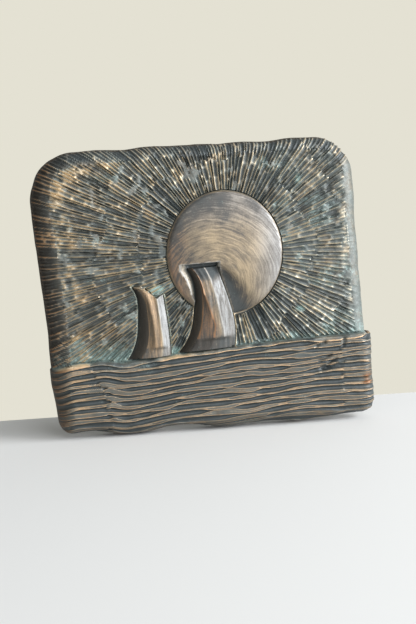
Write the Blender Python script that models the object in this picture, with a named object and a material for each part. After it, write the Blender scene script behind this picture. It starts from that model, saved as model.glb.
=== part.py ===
"""Decorative wall plaque: one bronze casting with a sun, two standing stones and water.

The plaque hangs on a wall.  Its front looks along -Y, its flat back lies in the plane
Y = 0, and +Z is up.  The origin is the middle of the back.  Lengths are in metres.
The front is one sheet of triangles.  It is laid out flat from lines that follow the
carving, then each point is lifted by the depth of the carving there.
"""
import math

import bpy
import numpy as np
from mathutils.geometry import delaunay_2d_cdt

MM = 0.001

# Plan of the plate, measured from the origin on its back
LEFT_AT_TOP = 77.8 * MM
LEFT_AT_WATER = 75.1 * MM
RIGHT_AT_TOP = 73.5 * MM
RIGHT_AT_WATER = 74.8 * MM
TOP_AT_LEFT = 67.4 * MM
TOP_AT_RIGHT = 65.5 * MM
BOTTOM_AT_LEFT = 60.2 * MM
BOTTOM_AT_RIGHT = 69.0 * MM
BAND_STEP_LEFT = 0.6 * MM
BAND_STEP_RIGHT = 2.6 * MM
BOTTOM_SCALLOP = 1.6 * MM
BOTTOM_SCALLOP_LENGTH = 41.0 * MM
BOTTOM_SCALLOP_PLACE = 3.0 * MM
BOTTOM_SCALLOP_FADE = 8.0 * MM
CORNER_TOP_LEFT = 20.0 * MM
CORNER_TOP_RIGHT = 18.0 * MM
CORNER_BOTTOM_LEFT = 8.0 * MM
CORNER_BOTTOM_RIGHT = 9.0 * MM
CORNER_STEPS = 7
OUTLINE_STEP = 4.5 * MM

# Thickness of the plate and its rolled rim
SKY_THICKNESS = 9.0 * MM
BAND_THICKNESS = 11.4 * MM
RIM_WALL = 2.6 * MM
BACK_BEVEL = 0.8 * MM
ROLL_LEFT = 8.5 * MM
ROLL_RIGHT = 6.5 * MM
ROLL_TOP = 5.5 * MM
ROLL_BOTTOM = 6.0 * MM
ROLL_BREAKS = (0.12, 0.45, 1.0)
RIM_STROKE_PITCH = 2.2 * MM
RIM_STROKE_RISE = 0.6 * MM
RIM_STROKE_SHARES = (0.12, 0.45, 0.94)

# Rays carved round the sun
RAY_PITCH = 2.05 * MM
RAY_LENGTH = 11.5 * MM
RAY_RISE = 0.8 * MM
RAY_LENGTH_SPREAD = 0.2
RAY_END_GAP = 0.5 * MM
RAY_SHORTEST = 2.5 * MM
RAY_RAGGED = 0.1
RAY_WANDER = 1.7 * MM
RAY_WANDER_WAVES = ((1.0, 5, 1.7), (0.6, 13, 2.0))
RAY_RIM_GAP = 0.04
RAY_SAMPLES = 40
RAY_SEED = 7

# The sun, a low dome with a stepped edge
SUN_X = 8.2 * MM
SUN_Z = 15.6 * MM
SUN_HALF_WIDTH = 26.8 * MM
SUN_HALF_HEIGHT = 28.3 * MM
SUN_STEP = 1.3 * MM
SUN_DOME = 2.3 * MM
SUN_EDGE_SLOPE = 0.6 * MM
SUN_POINTS = 60
SUN_RINGS = (0.84, 0.6, 0.34)
SUN_HOLLOW = 1.7 * MM
SUN_HOLLOW_WIDTH = 5.5 * MM
SUN_HOLLOW_HEIGHT = 10.0 * MM

# The water, a thicker band with wavy ridges
WATER_LINE = 28.4 * MM
WATER_LINE_WAVE = 0.9 * MM
WATER_LINE_LENGTH = 182.8 * MM
WATER_LINE_START = 0.6
WATER_LIP_SLOPE = 0.7 * MM
WAVE_PITCH = 3.05 * MM
WAVE_RISE = 1.1 * MM
WAVE_SWAY = 1.25 * MM
WAVE_CREST_SHARE = 0.3
WAVE_LENGTH = 64.0 * MM
WAVE_TURN = 0.55
WAVE_STEP = 8.0 * MM
WAVE_SAMPLES = 6
WAVE_FADE = 0.33
WAVE_SHIFTS = (0.5, 0.0, 0.4)
BOTTOM_TURN = 0.75
CREASE_LEFT = 58.5 * MM
CREASE_RIGHT = 60.0 * MM
CREASE_WIDTH = 1.6 * MM

# The tall stone, whose head stands in a notch in the sun
TALL_X = -2.2 * MM
TALL_HEIGHT = 37.4 * MM
TALL_HEAD_WIDTH = 12.0 * MM
TALL_FOOT_WIDTH = 21.4 * MM
TALL_LEAN = 0.3 * MM
TALL_HOLLOW_LEFT = 5.6 * MM
TALL_SWELL_RIGHT = 2.0 * MM
TALL_FLANK = 3.8 * MM
TALL_RISE = 4.4 * MM
TALL_HEAD_RISE = 1.7 * MM
NOTCH_GAP = 2.3 * MM
NOTCH_WALL = 1.2 * MM
NOTCH_BEVEL = 3.4 * MM

# The small stone, with a horn at each side of its head
SMALL_X = -27.9 * MM
SMALL_HEIGHT = 26.4 * MM
SMALL_HEAD_WIDTH = 10.4 * MM
SMALL_FOOT_WIDTH = 13.2 * MM
SMALL_LEAN = 0.2 * MM
SMALL_HOLLOW_LEFT = 3.4 * MM
SMALL_SWELL_RIGHT = 0.6 * MM
SMALL_FLANK = 5.9 * MM
SMALL_RISE = 3.8 * MM
SMALL_HEAD_RISE = 2.2 * MM
SMALL_HORN = 6.0 * MM
STONE_EDGE_SLOPE = 0.6 * MM
STONE_GROOVE = 1.2 * MM
STONE_ROWS = 7

# Form of both stones, as shares of the width, the height or the rise
STONE_BOW = 0.8
STONE_FLANK_AT_HEAD = 0.45
STONE_RISE_REACH = 0.45
STONE_RIDGE_LEFT = (0.08, 0.38)
STONE_RIDGE_RIGHT = (0.52, 0.66)
STONE_FACET_RISES = (0.72, 1.0, 0.96, 0.3)
HEAD_PLACES = (0.0, 0.3, 0.62, 1.0)
HEAD_DIP = 0.62
RIGHT_HORN = 0.25
NOTCH_BEVEL_REACH = 0.36
HOOD_PLACE = 0.6
HOOD_DEPTH = 0.4

# Pocket in the back that takes the head of a nail
POCKET_HALF_WIDTH = 5.5 * MM
POCKET_HEIGHT = 13.0 * MM
POCKET_DEPTH = 5.5 * MM
POCKET_UNDERCUT = 1.6 * MM
POCKET_TOP = 52.0 * MM
POCKET_ARC_STEPS = 8

MERGE = 0.03
SMALLEST_FACE = 1e-4 * MM * MM
BRONZE = (0.16, 0.115, 0.075, 1.0)


def clear_scene():
    """Start from an empty scene."""
    for thing in list(bpy.data.objects):
        bpy.data.objects.remove(thing, do_unlink=True)


def lerp(start, end, share):
    """Value that lies the given share of the way from start to end."""
    return start + (end - start) * share


def water_line(x):
    """Height of the top edge of the water at x, gently waved."""
    turn = 2 * np.pi * x / WATER_LINE_LENGTH + WATER_LINE_START
    return -WATER_LINE + WATER_LINE_WAVE * np.sin(turn)


def corner_arc(before, corner, after, radius):
    """Points of the arc that rounds a corner of the outline."""
    to_before = np.subtract(before, corner)
    to_after = np.subtract(after, corner)
    to_before = to_before / np.linalg.norm(to_before)
    to_after = to_after / np.linalg.norm(to_after)
    half = math.acos(float(np.dot(to_before, to_after))) / 2
    middle = (to_before + to_after) / np.linalg.norm(to_before + to_after)
    centre = np.asarray(corner) + middle * radius / math.sin(half)
    first = np.asarray(corner) + to_before * radius / math.tan(half) - centre
    last = np.asarray(corner) + to_after * radius / math.tan(half) - centre
    sweep = math.pi - 2 * half
    points = []
    for step in range(CORNER_STEPS + 1):
        share = step / CORNER_STEPS
        blend = first * math.sin((1 - share) * sweep) + last * math.sin(share * sweep)
        points.append(tuple(centre + blend / math.sin(sweep)))
    return points


def plate_outline():
    """Outline of the plate, counter-clockwise from the left end of the water line."""
    lip = WATER_LIP_SLOPE / 2
    left_line = float(water_line(-LEFT_AT_WATER))
    right_line = float(water_line(RIGHT_AT_WATER))
    corners = [
        ((-LEFT_AT_WATER, left_line + lip), 0),
        ((-LEFT_AT_WATER - BAND_STEP_LEFT, left_line - lip), 0),
        ((-LEFT_AT_WATER, -BOTTOM_AT_LEFT), CORNER_BOTTOM_LEFT),
        ((RIGHT_AT_WATER + BAND_STEP_RIGHT, -BOTTOM_AT_RIGHT), CORNER_BOTTOM_RIGHT),
        ((RIGHT_AT_WATER + BAND_STEP_RIGHT, right_line - lip), 0),
        ((RIGHT_AT_WATER, right_line + lip), 0),
        ((RIGHT_AT_TOP, TOP_AT_RIGHT), CORNER_TOP_RIGHT),
        ((-LEFT_AT_TOP, TOP_AT_LEFT), CORNER_TOP_LEFT),
    ]
    bends = []
    for number, (corner, radius) in enumerate(corners):
        if radius:
            after = corners[(number + 1) % len(corners)][0]
            bends += corner_arc(corners[number - 1][0], corner, after, radius)
        else:
            bends.append(corner)
    points = []
    for number, start in enumerate(bends):
        end = bends[(number + 1) % len(bends)]
        pieces = max(1, round(math.dist(start, end) / OUTLINE_STEP))
        for piece in range(pieces):
            points.append(lerp(np.asarray(start), np.asarray(end), piece / pieces))
    points = np.array(points)
    points[:, 1] -= bottom_scallop(points)
    return points


def bottom_scallop(points):
    """How far the scalloped bottom edge hangs below its straight line at each point."""
    low = np.clip((BOTTOM_SCALLOP_FADE - BOTTOM_AT_LEFT - points[:, 1]) / BOTTOM_SCALLOP_FADE, 0, 1)
    turn = 2 * np.pi * (points[:, 0] - BOTTOM_SCALLOP_PLACE) / BOTTOM_SCALLOP_LENGTH
    return BOTTOM_SCALLOP * low * (1 + np.cos(turn)) / 2


def distance_to_line(points, line):
    """Shortest distance from each point to a closed line."""
    along = np.roll(line, -1, axis=0) - line
    offset = points[:, None, :] - line[None, :, :]
    share = np.clip((offset * along).sum(axis=2) / (along * along).sum(axis=1), 0, 1)
    return np.linalg.norm(offset - share[:, :, None] * along, axis=2).min(axis=1)


def inside_line(points, line):
    """True for each point that lies inside a closed line."""
    after = np.roll(line, -1, axis=0)
    above = line[None, :, 1] > points[:, None, 1]
    crosses = above != (after[None, :, 1] > points[:, None, 1])
    drop = after[:, 1] - line[:, 1]
    slope = (after[:, 0] - line[:, 0]) / np.where(drop == 0, 1.0, drop)
    meets = line[None, :, 0] + (points[:, None, 1] - line[None, :, 1]) * slope
    return (crosses & (points[:, None, 0] < meets)).sum(axis=1) % 2 == 1


def roll_width(points):
    """Width of the rolled rim near each point, blended from side to side."""
    across = points[:, 0] / LEFT_AT_WATER
    up = points[:, 1] / TOP_AT_LEFT
    side = np.where(across < 0, ROLL_LEFT, ROLL_RIGHT)
    end = np.where(up < 0, ROLL_BOTTOM, ROLL_TOP)
    share = across**4 / (across**4 + up**4 + 1e-9)
    return lerp(end, side, share)


def roll_share(points, outline):
    """How far each point is from the outline, as a share of the rolled rim."""
    return distance_to_line(points, outline) / roll_width(points)


def rolled(points, outline, thickness):
    """Height over the back of a plate whose rim rolls down to the side wall."""
    share = np.clip(roll_share(points, outline), 0, 1)
    return RIM_WALL + (thickness - RIM_WALL) * np.sqrt(1 - (1 - share) ** 2)


def sun_radius(points):
    """Distance from the middle of the sun, 1 on its edge."""
    return np.hypot((points[:, 0] - SUN_X) / SUN_HALF_WIDTH, (points[:, 1] - SUN_Z) / SUN_HALF_HEIGHT)


def sun_height(points):
    """Height over the back of the sun's domed face, with a hollow beside the tall stone."""
    dome = SUN_DOME * (1 - np.clip(sun_radius(points), 0, 1) ** 2)
    beside = tall_stone()
    _, right = beside.sides(points[:, 1])
    across = (points[:, 0] - right - SUN_HOLLOW_WIDTH / 2) / SUN_HOLLOW_WIDTH
    down = (points[:, 1] - beside.head + SUN_HOLLOW_HEIGHT) / SUN_HOLLOW_HEIGHT
    hollow = SUN_HOLLOW * np.exp(-(across**2) - down**2)
    return SKY_THICKNESS + SUN_STEP + dome - hollow * (across > -1)


class Stone:
    """A standing stone: waisted on the left, swelling on the right, in facets."""

    def __init__(self, x, height, widths, lean, bows, flank, rises, horn, bevel):
        self.foot = float(water_line(x)) + WATER_LIP_SLOPE
        self.head = self.foot + height
        self.x = x
        self.widths = widths
        self.lean = lean
        self.bows = bows
        self.flank = flank
        self.rises = rises
        self.horn = horn
        self.bevel = bevel

    def share(self, z):
        """Share of the way down from the head to the foot."""
        return np.clip((self.head - z) / (self.head - self.foot), 0, 1)

    def sides(self, z):
        """Left and right edge of the stone at z."""
        down = self.share(z)
        half = lerp(self.widths[0], self.widths[1], down) / 2
        bow = np.sin(math.pi * down) ** STONE_BOW
        middle = self.x + self.lean * down
        return middle - half + self.bows[0] * bow, middle + half + self.bows[1] * bow

    def groove(self, z):
        """Foot of the steep left flank at z."""
        left, _ = self.sides(z)
        return left - self.flank * lerp(STONE_FLANK_AT_HEAD, 1.0, np.sqrt(self.share(z)))

    def field_edge(self, z):
        """Line left of the groove where the ground starts, bevelled wide beside the head."""
        bevel = self.bevel * np.clip(1 - self.share(z) / NOTCH_BEVEL_REACH, 0, 1)
        return self.groove(z) - STONE_EDGE_SLOPE - bevel

    def top(self, across):
        """Line of the head over a share of the width, with a dip between two horns."""
        left_horn = np.clip(1 - across / HEAD_DIP, 0, None)
        right_horn = np.clip((across - HEAD_DIP) / (1 - HEAD_DIP), 0, 1)
        return self.head + self.horn * (left_horn + RIGHT_HORN * right_horn)

    def facets(self, z):
        """Points across the stone at z, each as x and height over the back."""
        down = self.share(z)
        left, right = self.sides(z)
        rise = lerp(self.rises[0], self.rises[1], np.clip(down / STONE_RISE_REACH, 0, 1))
        ridges = (0.0, lerp(*STONE_RIDGE_LEFT, down), lerp(*STONE_RIDGE_RIGHT, down), 1.0)
        return [
            (lerp(left, right, ridge), SKY_THICKNESS + rise * share)
            for ridge, share in zip(ridges, STONE_FACET_RISES)
        ]

    def covers(self, points, margin):
        """True for points on the stone or nearer to it than the margin."""
        left, right = self.sides(points[:, 1])
        edge = self.field_edge(points[:, 1])
        across = np.clip((points[:, 0] - left) / (right - left), -HEAD_DIP, 1)
        low = points[:, 1] < self.top(across) + self.head_gap() + margin
        return low & (points[:, 0] > edge - margin) & (points[:, 0] < right + STONE_EDGE_SLOPE + margin)

    def head_gap(self):
        """Height of the gap cut over the head: deep where the stone has a notch."""
        return NOTCH_GAP if self.bevel else STONE_EDGE_SLOPE


def tall_stone():
    """The stone in front of the sun."""
    return Stone(
        TALL_X, TALL_HEIGHT, (TALL_HEAD_WIDTH, TALL_FOOT_WIDTH), TALL_LEAN,
        (TALL_HOLLOW_LEFT, TALL_SWELL_RIGHT), TALL_FLANK, (TALL_HEAD_RISE, TALL_RISE), 0.0, NOTCH_BEVEL,
    )


def small_stone():
    """The stone on the left, with horns."""
    return Stone(
        SMALL_X, SMALL_HEIGHT, (SMALL_HEAD_WIDTH, SMALL_FOOT_WIDTH), SMALL_LEAN,
        (SMALL_HOLLOW_LEFT, SMALL_SWELL_RIGHT), SMALL_FLANK, (SMALL_HEAD_RISE, SMALL_RISE),
        SMALL_HORN, 0.0,
    )


class Sheet:
    """Points with heights and the lines between them, laid out flat in X and Z."""

    def __init__(self):
        self.points = []
        self.heights = []
        self.lines = []

    def add(self, points, heights, line=True, closed=False):
        """Add points and, when asked, the line through them."""
        first = len(self.points)
        count = len(points)
        self.points += [tuple(point) for point in points]
        self.heights += list(np.broadcast_to(heights, count))
        if line:
            self.lines += [(first + step, first + step + 1) for step in range(count - 1)]
        if line and closed:
            self.lines.append((first + count - 1, first))

    def triangles(self, fallback):
        """Triangles between the points that keep every line, and the lifted points."""
        flat = [(x / MM, z / MM) for x, z in self.points]
        points, _, faces, sources, _, _ = delaunay_2d_cdt(flat, self.lines, [], 0, MERGE, True)
        spots = np.array([(point[0] * MM, point[1] * MM) for point in points])
        lifted = fallback(spots)
        for number, source in enumerate(sources):
            if source:
                lifted[number] = self.heights[source[0]]
        return spots, lifted, faces


def plaque_lines(outline, stones):
    """Lay out every line of the carving."""
    sheet = Sheet()
    sheet.add(outline, RIM_WALL, closed=True)
    lay_water(sheet, outline)
    lay_sun(sheet, stones)
    for stone in stones:
        lay_stone(sheet, stone)
    lay_rays(sheet, outline, stones)
    lay_rim_strokes(sheet, outline)
    return sheet


def lay_run(sheet, run, outline, free, height):
    """Add the free stretches of a finely drawn line, with a point at each break of the rim."""
    share = roll_share(run, outline)
    keep = free(run)
    start = None
    for number in range(len(run) + 1):
        inside = number < len(run) and keep[number]
        if inside and start is None:
            start = number
        if not inside and start is not None:
            stretch = run[start:number]
            if np.linalg.norm(stretch[-1] - stretch[0]) > RAY_SHORTEST:
                picks = break_points(share[start:number])
                sheet.add(stretch[picks], height(stretch[picks]))
            start = None


def break_points(share):
    """Ends of a line and the places where it crosses a break of the rolled rim."""
    picks = {0, len(share) - 1}
    for limit in ROLL_BREAKS:
        over = share > limit
        picks |= set((np.flatnonzero(over[1:] != over[:-1]) + 1).tolist())
    return sorted(picks)


def lay_rays(sheet, outline, stones):
    """Ragged rings of strokes round the sun, each with a crest between two troughs."""
    chance = np.random.default_rng(RAY_SEED)
    clearance = RAY_END_GAP + SUN_EDGE_SLOPE

    def free(points):
        clear = roll_share(points, outline) > 1 + RAY_RIM_GAP
        clear &= inside_line(points, outline)
        clear &= points[:, 1] > water_line(points[:, 0]) + RAY_END_GAP + WATER_LIP_SLOPE
        clear &= (sun_radius(points) - 1) * SUN_HALF_WIDTH > clearance
        for stone in stones:
            clear &= ~stone.covers(points, RAY_END_GAP + STONE_EDGE_SLOPE)
        return clear

    def crest(points):
        return rolled(points, outline, SKY_THICKNESS) + RAY_RISE

    def trough(points):
        return rolled(points, outline, SKY_THICKNESS)

    reach = math.hypot(LEFT_AT_TOP + SUN_X, TOP_AT_LEFT + SUN_Z)
    start = SUN_HALF_WIDTH
    ring = 0
    while start < reach:
        length = RAY_LENGTH * (1 + RAY_LENGTH_SPREAD * chance.uniform(-1, 1))
        strokes = round(2 * math.pi * (start + length / 2) / RAY_PITCH)
        for stroke in range(strokes):
            for offset, height in ((0.0, crest), (0.5, trough)):
                angle = 2 * math.pi * (stroke + offset) / strokes
                ends = chance.uniform(0, RAY_RAGGED, 2) * length
                near = start + ring_wander(ring, angle) + RAY_END_GAP + ends[0]
                far = start + length + ring_wander(ring + 1, angle) - RAY_END_GAP - ends[1]
                lay_run(sheet, ray(near, far, angle), outline, free, height)
        start += length
        ring += 1


def ring_wander(ring, angle):
    """How far the edge of a ring of strokes strays from its circle."""
    if ring == 0:
        return 0.0
    waves = [size * math.sin(count * angle + turn * ring) for size, count, turn in RAY_WANDER_WAVES]
    return RAY_WANDER * sum(waves)


def ray(near, far, angle):
    """Finely drawn line that runs straight out from the sun."""
    radii = np.linspace(near, far, RAY_SAMPLES) / SUN_HALF_WIDTH
    return np.stack([
        SUN_X + SUN_HALF_WIDTH * radii * math.cos(angle),
        SUN_Z + SUN_HALF_HEIGHT * radii * math.sin(angle),
    ], axis=1)


def even_steps(line, pitch):
    """Points at a steady pitch along an open line, with the inward direction at each."""
    steps = np.linalg.norm(np.diff(line, axis=0), axis=1)
    run = np.concatenate([[0], np.cumsum(steps)])
    places = (np.arange(round(run[-1] / pitch)) + 0.5) * run[-1] / round(run[-1] / pitch)
    points = np.stack([np.interp(places, run, line[:, axis]) for axis in (0, 1)], axis=1)
    along = np.stack([np.interp(places + pitch, run, line[:, axis]) for axis in (0, 1)], axis=1) - points
    back = np.stack([np.interp(places - pitch, run, line[:, axis]) for axis in (0, 1)], axis=1) - points
    along = along - back
    along /= np.linalg.norm(along, axis=1)[:, None]
    return points, np.stack([-along[:, 1], along[:, 0]], axis=1)


def lay_rim_strokes(sheet, outline):
    """Short strokes over the rolled rim of the sky, and the plain roll under the water."""
    above = outline[:, 1] > water_line(outline[:, 0])
    first = np.flatnonzero(above)[np.flatnonzero(above) > 1][0]
    sky = np.vstack([outline[first:], outline[:1]])
    points, inward = even_steps(sky, RIM_STROKE_PITCH / 2)
    for number, (point, direction) in enumerate(zip(points, inward)):
        if point[1] < water_line(point[0]) + RAY_END_GAP * 3:
            continue
        width = roll_width(point[None, :])[0]
        line = np.array([point + direction * width * share for share in RIM_STROKE_SHARES])
        height = rolled(line, outline, SKY_THICKNESS)
        plain_side = np.clip(direction[0] * -1.4, 0, 1)
        if number % 2 == 0:
            height = height + RIM_STROKE_RISE * (1 - plain_side)
        sheet.add(line, height)
    points, inward = even_steps(outline[2:first], WAVE_STEP / 2)
    below = inward[:, 1] > BOTTOM_TURN
    points, inward = points[below], inward[below]
    for share in RIM_STROKE_SHARES[1:]:
        line = points + inward * share * ROLL_BOTTOM
        sheet.add(line, rolled(line, outline, BAND_THICKNESS))


def lay_sun(sheet, stones):
    """Rings of the domed sun, left out where a stone stands in front."""
    def keep(points):
        clear = np.ones(len(points), dtype=bool)
        for stone in stones:
            clear &= ~stone.covers(points, NOTCH_GAP + NOTCH_WALL)
        return clear

    for ring, height in ((1 + SUN_EDGE_SLOPE / SUN_HALF_WIDTH, None), (1.0, sun_height)):
        points = sun_ring(ring, SUN_POINTS)
        clear = keep(points)
        levels = np.full(len(points), SKY_THICKNESS) if height is None else height(points)
        for number in range(len(points)):
            after = (number + 1) % len(points)
            if clear[number] and clear[after]:
                pair = [number, after]
                sheet.add(points[pair], levels[pair])
    for ring in SUN_RINGS:
        points = sun_ring(ring, round(SUN_POINTS * ring))
        points = points[keep(points)]
        sheet.add(points, sun_height(points), line=False)
    middle = np.array([(SUN_X, SUN_Z)])
    if keep(middle)[0]:
        sheet.add(middle, sun_height(middle), line=False)


def sun_ring(ring, count):
    """Points on a ring of the sun."""
    angles = 2 * np.pi * np.arange(count) / count
    return np.stack([
        SUN_X + SUN_HALF_WIDTH * ring * np.cos(angles),
        SUN_Z + SUN_HALF_HEIGHT * ring * np.sin(angles),
    ], axis=1)


def ground_height(points):
    """Height of the sky or of the sun at each point."""
    on_sun = sun_radius(points) < 1
    return np.where(on_sun, sun_height(points), SKY_THICKNESS)


def lay_stone(sheet, stone):
    """Facets of a stone, the flank and groove on its left and the notch over its head."""
    rows = []
    for row in range(STONE_ROWS):
        down = row / (STONE_ROWS - 1)
        line = []
        for column in range(4):
            z = lerp(stone.head, stone.foot, down)
            if row == 0:
                z = float(stone.top(np.float64(HEAD_PLACES[column])))
            x, height = stone.facets(np.float64(z))[column]
            line.append((float(x), z, float(height)))
        rows.append(line)
    table = np.array(rows)
    for row in table:
        sheet.add(row[:, :2], row[:, 2])
    for column in range(4):
        sheet.add(table[:, column, :2], table[:, column, 2])
    zs = table[:, 0, 1]
    groove = np.stack([stone.groove(zs), zs], axis=1)
    sheet.add(groove, SKY_THICKNESS - STONE_GROOVE)
    field = np.stack([stone.field_edge(zs), zs], axis=1)
    right = table[:, 3, :2] + [STONE_EDGE_SLOPE, 0]
    head = table[0, :, :2]
    gap = stone.head_gap()
    hood = np.vstack([groove[0], head]) + [0, gap * HOOD_PLACE]
    sheet.add(hood, SKY_THICKNESS - STONE_GROOVE * HOOD_DEPTH)
    rim = np.vstack([field[0], groove[0], head, right[0]]) + [0, gap]
    loop = np.vstack([field[::-1], rim, right])
    sheet.add(loop, ground_height(loop))


def wave_rows():
    """Lines of the water: the number of each ridge, and the line's place beside the crest."""
    count = math.ceil((BOTTOM_AT_RIGHT - WATER_LINE) / WAVE_PITCH) + 1
    beside = (-WAVE_CREST_SHARE, 0.0, WAVE_CREST_SHARE)
    return [(number, place) for number in range(count) for place in beside]


def lay_water(sheet, outline):
    """The lip of the water and its wavy ridges, broken at a crease near each side."""
    lip = WATER_LIP_SLOPE / 2
    xs = np.arange(-LEFT_AT_WATER + OUTLINE_STEP / 2, RIGHT_AT_WATER, OUTLINE_STEP / 2)
    upper = np.stack([xs, water_line(xs) + lip], axis=1)
    lower = np.stack([xs, water_line(xs) - lip], axis=1)
    upper = np.vstack([outline[0], upper, sky_corner(outline)])
    sheet.add(upper, rolled(upper, outline, SKY_THICKNESS))
    sheet.add(lower, rolled(lower, outline, BAND_THICKNESS) + WAVE_RISE)

    def free(points):
        clear = distance_to_line(points, outline) > RAY_END_GAP
        clear &= inside_line(points, outline)
        clear &= points[:, 1] < water_line(points[:, 0]) - lip - RAY_END_GAP
        slope = (BOTTOM_AT_RIGHT - BOTTOM_AT_LEFT) / (LEFT_AT_WATER + RIGHT_AT_WATER)
        floor = -BOTTOM_AT_LEFT - slope * (points[:, 0] + LEFT_AT_WATER)
        clear &= points[:, 1] > floor + ROLL_BOTTOM + RAY_END_GAP * 2
        return clear

    def crest(points):
        fade = np.clip(roll_share(points, outline) / WAVE_FADE, 0, 1)
        return rolled(points, outline, BAND_THICKNESS) + WAVE_RISE * fade

    def trough(points):
        return rolled(points, outline, BAND_THICKNESS)

    spans = (
        (-LEFT_AT_WATER - BAND_STEP_LEFT, -CREASE_LEFT - CREASE_WIDTH / 2),
        (-CREASE_LEFT + CREASE_WIDTH / 2, CREASE_RIGHT - CREASE_WIDTH / 2),
        (CREASE_RIGHT + CREASE_WIDTH / 2, RIGHT_AT_WATER + BAND_STEP_RIGHT),
    )
    for (left, right), shift in zip(spans, WAVE_SHIFTS):
        for number, beside in wave_rows():
            level = number + shift + 1 + beside
            pieces = max(1, round((right - left) / WAVE_STEP))
            xs = np.linspace(left, right, pieces * WAVE_SAMPLES + 1)
            sway = WAVE_SWAY * np.sin(2 * np.pi * xs / WAVE_LENGTH + number * WAVE_TURN)
            zs = water_line(xs) - level * WAVE_PITCH + sway * min(level / 2, 1)
            run = np.stack([xs, zs], axis=1)
            lay_wave(sheet, run, outline, free, trough if beside else crest)


def sky_corner(outline):
    """Outline point at the right end of the water line, on the sky's side."""
    wanted = np.array([RIGHT_AT_WATER, water_line(RIGHT_AT_WATER) + WATER_LIP_SLOPE / 2])
    return outline[np.argmin(np.linalg.norm(outline - wanted, axis=1))]


def lay_wave(sheet, run, outline, free, height):
    """Add the free stretch of a wave, with a point every few steps and at each rim break."""
    keep = free(run)
    share = roll_share(run, outline)
    inside = np.flatnonzero(keep)
    if len(inside) < 4:
        return
    first, last = inside[0], inside[-1]
    breaks = {first + pick for pick in break_points(share[first:last + 1])}
    steady = range(first + WAVE_SAMPLES, last - 2, WAVE_SAMPLES)
    near = {number for number in steady if min(abs(number - stop) for stop in breaks) > 2}
    picks = sorted(breaks | near)
    picks = [number for number in picks if keep[number]]
    sheet.add(run[picks], height(run[picks]))


def front_sheet(outline, stones):
    """Lifted points and triangles of the front."""
    sheet = plaque_lines(outline, stones)

    def fallback(points):
        sky = points[:, 1] > water_line(points[:, 0])
        return rolled(points, outline, np.where(sky, SKY_THICKNESS, BAND_THICKNESS))

    points, heights, faces = sheet.triangles(fallback)
    corners = points[np.array(faces)]
    keep = inside_line(corners.mean(axis=1), outline) & (face_area(corners) > SMALLEST_FACE)
    faces = [face for face, wanted in zip(faces, keep) if wanted]
    return points, heights, faces


def face_area(corners):
    """Area of each flat triangle."""
    (ax, az), (bx, bz) = (corners[:, 1] - corners[:, 0]).T, (corners[:, 2] - corners[:, 0]).T
    return np.abs(ax * bz - az * bx) / 2


def rim_loop(faces):
    """Order of the points round the open edge of the sheet."""
    edges = {}
    for face in faces:
        for start, end in zip(face, face[1:] + face[:1]):
            edges[(start, end)] = True
    following = {start: end for start, end in edges if (end, start) not in edges}
    first = min(following)
    loop = [first]
    while following[loop[-1]] != first:
        loop.append(following[loop[-1]])
    return loop


def inset(points, distance):
    """Closed line moved inwards by a distance."""
    along = np.roll(points, -1, axis=0) - np.roll(points, 1, axis=0)
    along /= np.linalg.norm(along, axis=1)[:, None]
    return points + distance * np.stack([-along[:, 1], along[:, 0]], axis=1)


def pocket_loop():
    """Mouth of the pocket on the back, counter-clockwise from its lower left corner."""
    radius = POCKET_HALF_WIDTH
    points = [(-radius, POCKET_TOP - POCKET_HEIGHT), (radius, POCKET_TOP - POCKET_HEIGHT)]
    for step in range(POCKET_ARC_STEPS + 1):
        angle = math.pi * step / POCKET_ARC_STEPS
        points.append((radius * math.cos(angle), POCKET_TOP - radius + radius * math.sin(angle)))
    return np.array(points)


def build_plaque():
    """Close the carved sheet with the side wall, the back and the pocket."""
    outline = plate_outline()
    stones = (tall_stone(), small_stone())
    points, heights, faces = front_sheet(outline, stones)
    used = sorted({number for face in faces for number in face})
    place = {old: new for new, old in enumerate(used)}
    faces = [[place[number] for number in face] for face in faces]
    vertices = [(points[number][0], -heights[number], points[number][1]) for number in used]

    def add_ring(flat, y):
        first = len(vertices)
        vertices.extend((x, y, z) for x, z in flat)
        return list(range(first, first + len(flat)))

    def join(front, back):
        for step in range(len(front)):
            after = (step + 1) % len(front)
            faces.append([front[after], front[step], back[step], back[after]])

    loop = rim_loop(faces)
    flat = np.array([(vertices[number][0], vertices[number][2]) for number in loop])
    side = add_ring(flat, -BACK_BEVEL)
    back_line = inset(flat, BACK_BEVEL)
    back = add_ring(back_line, 0.0)
    join(loop, side)
    join(side, back)

    mouth_line = pocket_loop()
    mouth = add_ring(mouth_line, 0.0)
    deep_line = mouth_line + [0, POCKET_UNDERCUT]
    deep = add_ring(deep_line, -POCKET_DEPTH)
    join(deep[::-1], mouth[::-1])
    faces.append(deep[::-1])

    both = [(x / MM, z / MM) for x, z in np.vstack([back_line, mouth_line])]
    rings = [(step, (step + 1) % len(back)) for step in range(len(back))]
    start = len(back)
    rings += [(start + step, start + (step + 1) % len(mouth)) for step in range(len(mouth))]
    spots, _, cap, sources, _, _ = delaunay_2d_cdt(both, rings, [], 0, MERGE / 10, True)
    names = back + mouth
    spots = np.array([(spot[0] * MM, spot[1] * MM) for spot in spots])
    for face in cap:
        centre = spots[face].mean(axis=0)[None, :]
        if inside_line(centre, back_line)[0] and not inside_line(centre, mouth_line)[0]:
            faces.append([names[sources[number][0]] for number in reversed(face)])

    mesh = bpy.data.meshes.new("plaque")
    mesh.from_pydata(vertices, [], faces)
    mesh.validate()
    plaque = bpy.data.objects.new("plaque", mesh)
    bpy.context.scene.collection.objects.link(plaque)
    return plaque


def bronze():
    """Dark cast bronze."""
    material = bpy.data.materials.new("bronze")
    material.use_nodes = True
    shader = material.node_tree.nodes["Principled BSDF"]
    shader.inputs["Base Color"].default_value = BRONZE
    shader.inputs["Metallic"].default_value = 0.9
    shader.inputs["Roughness"].default_value = 0.48
    return material


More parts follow.
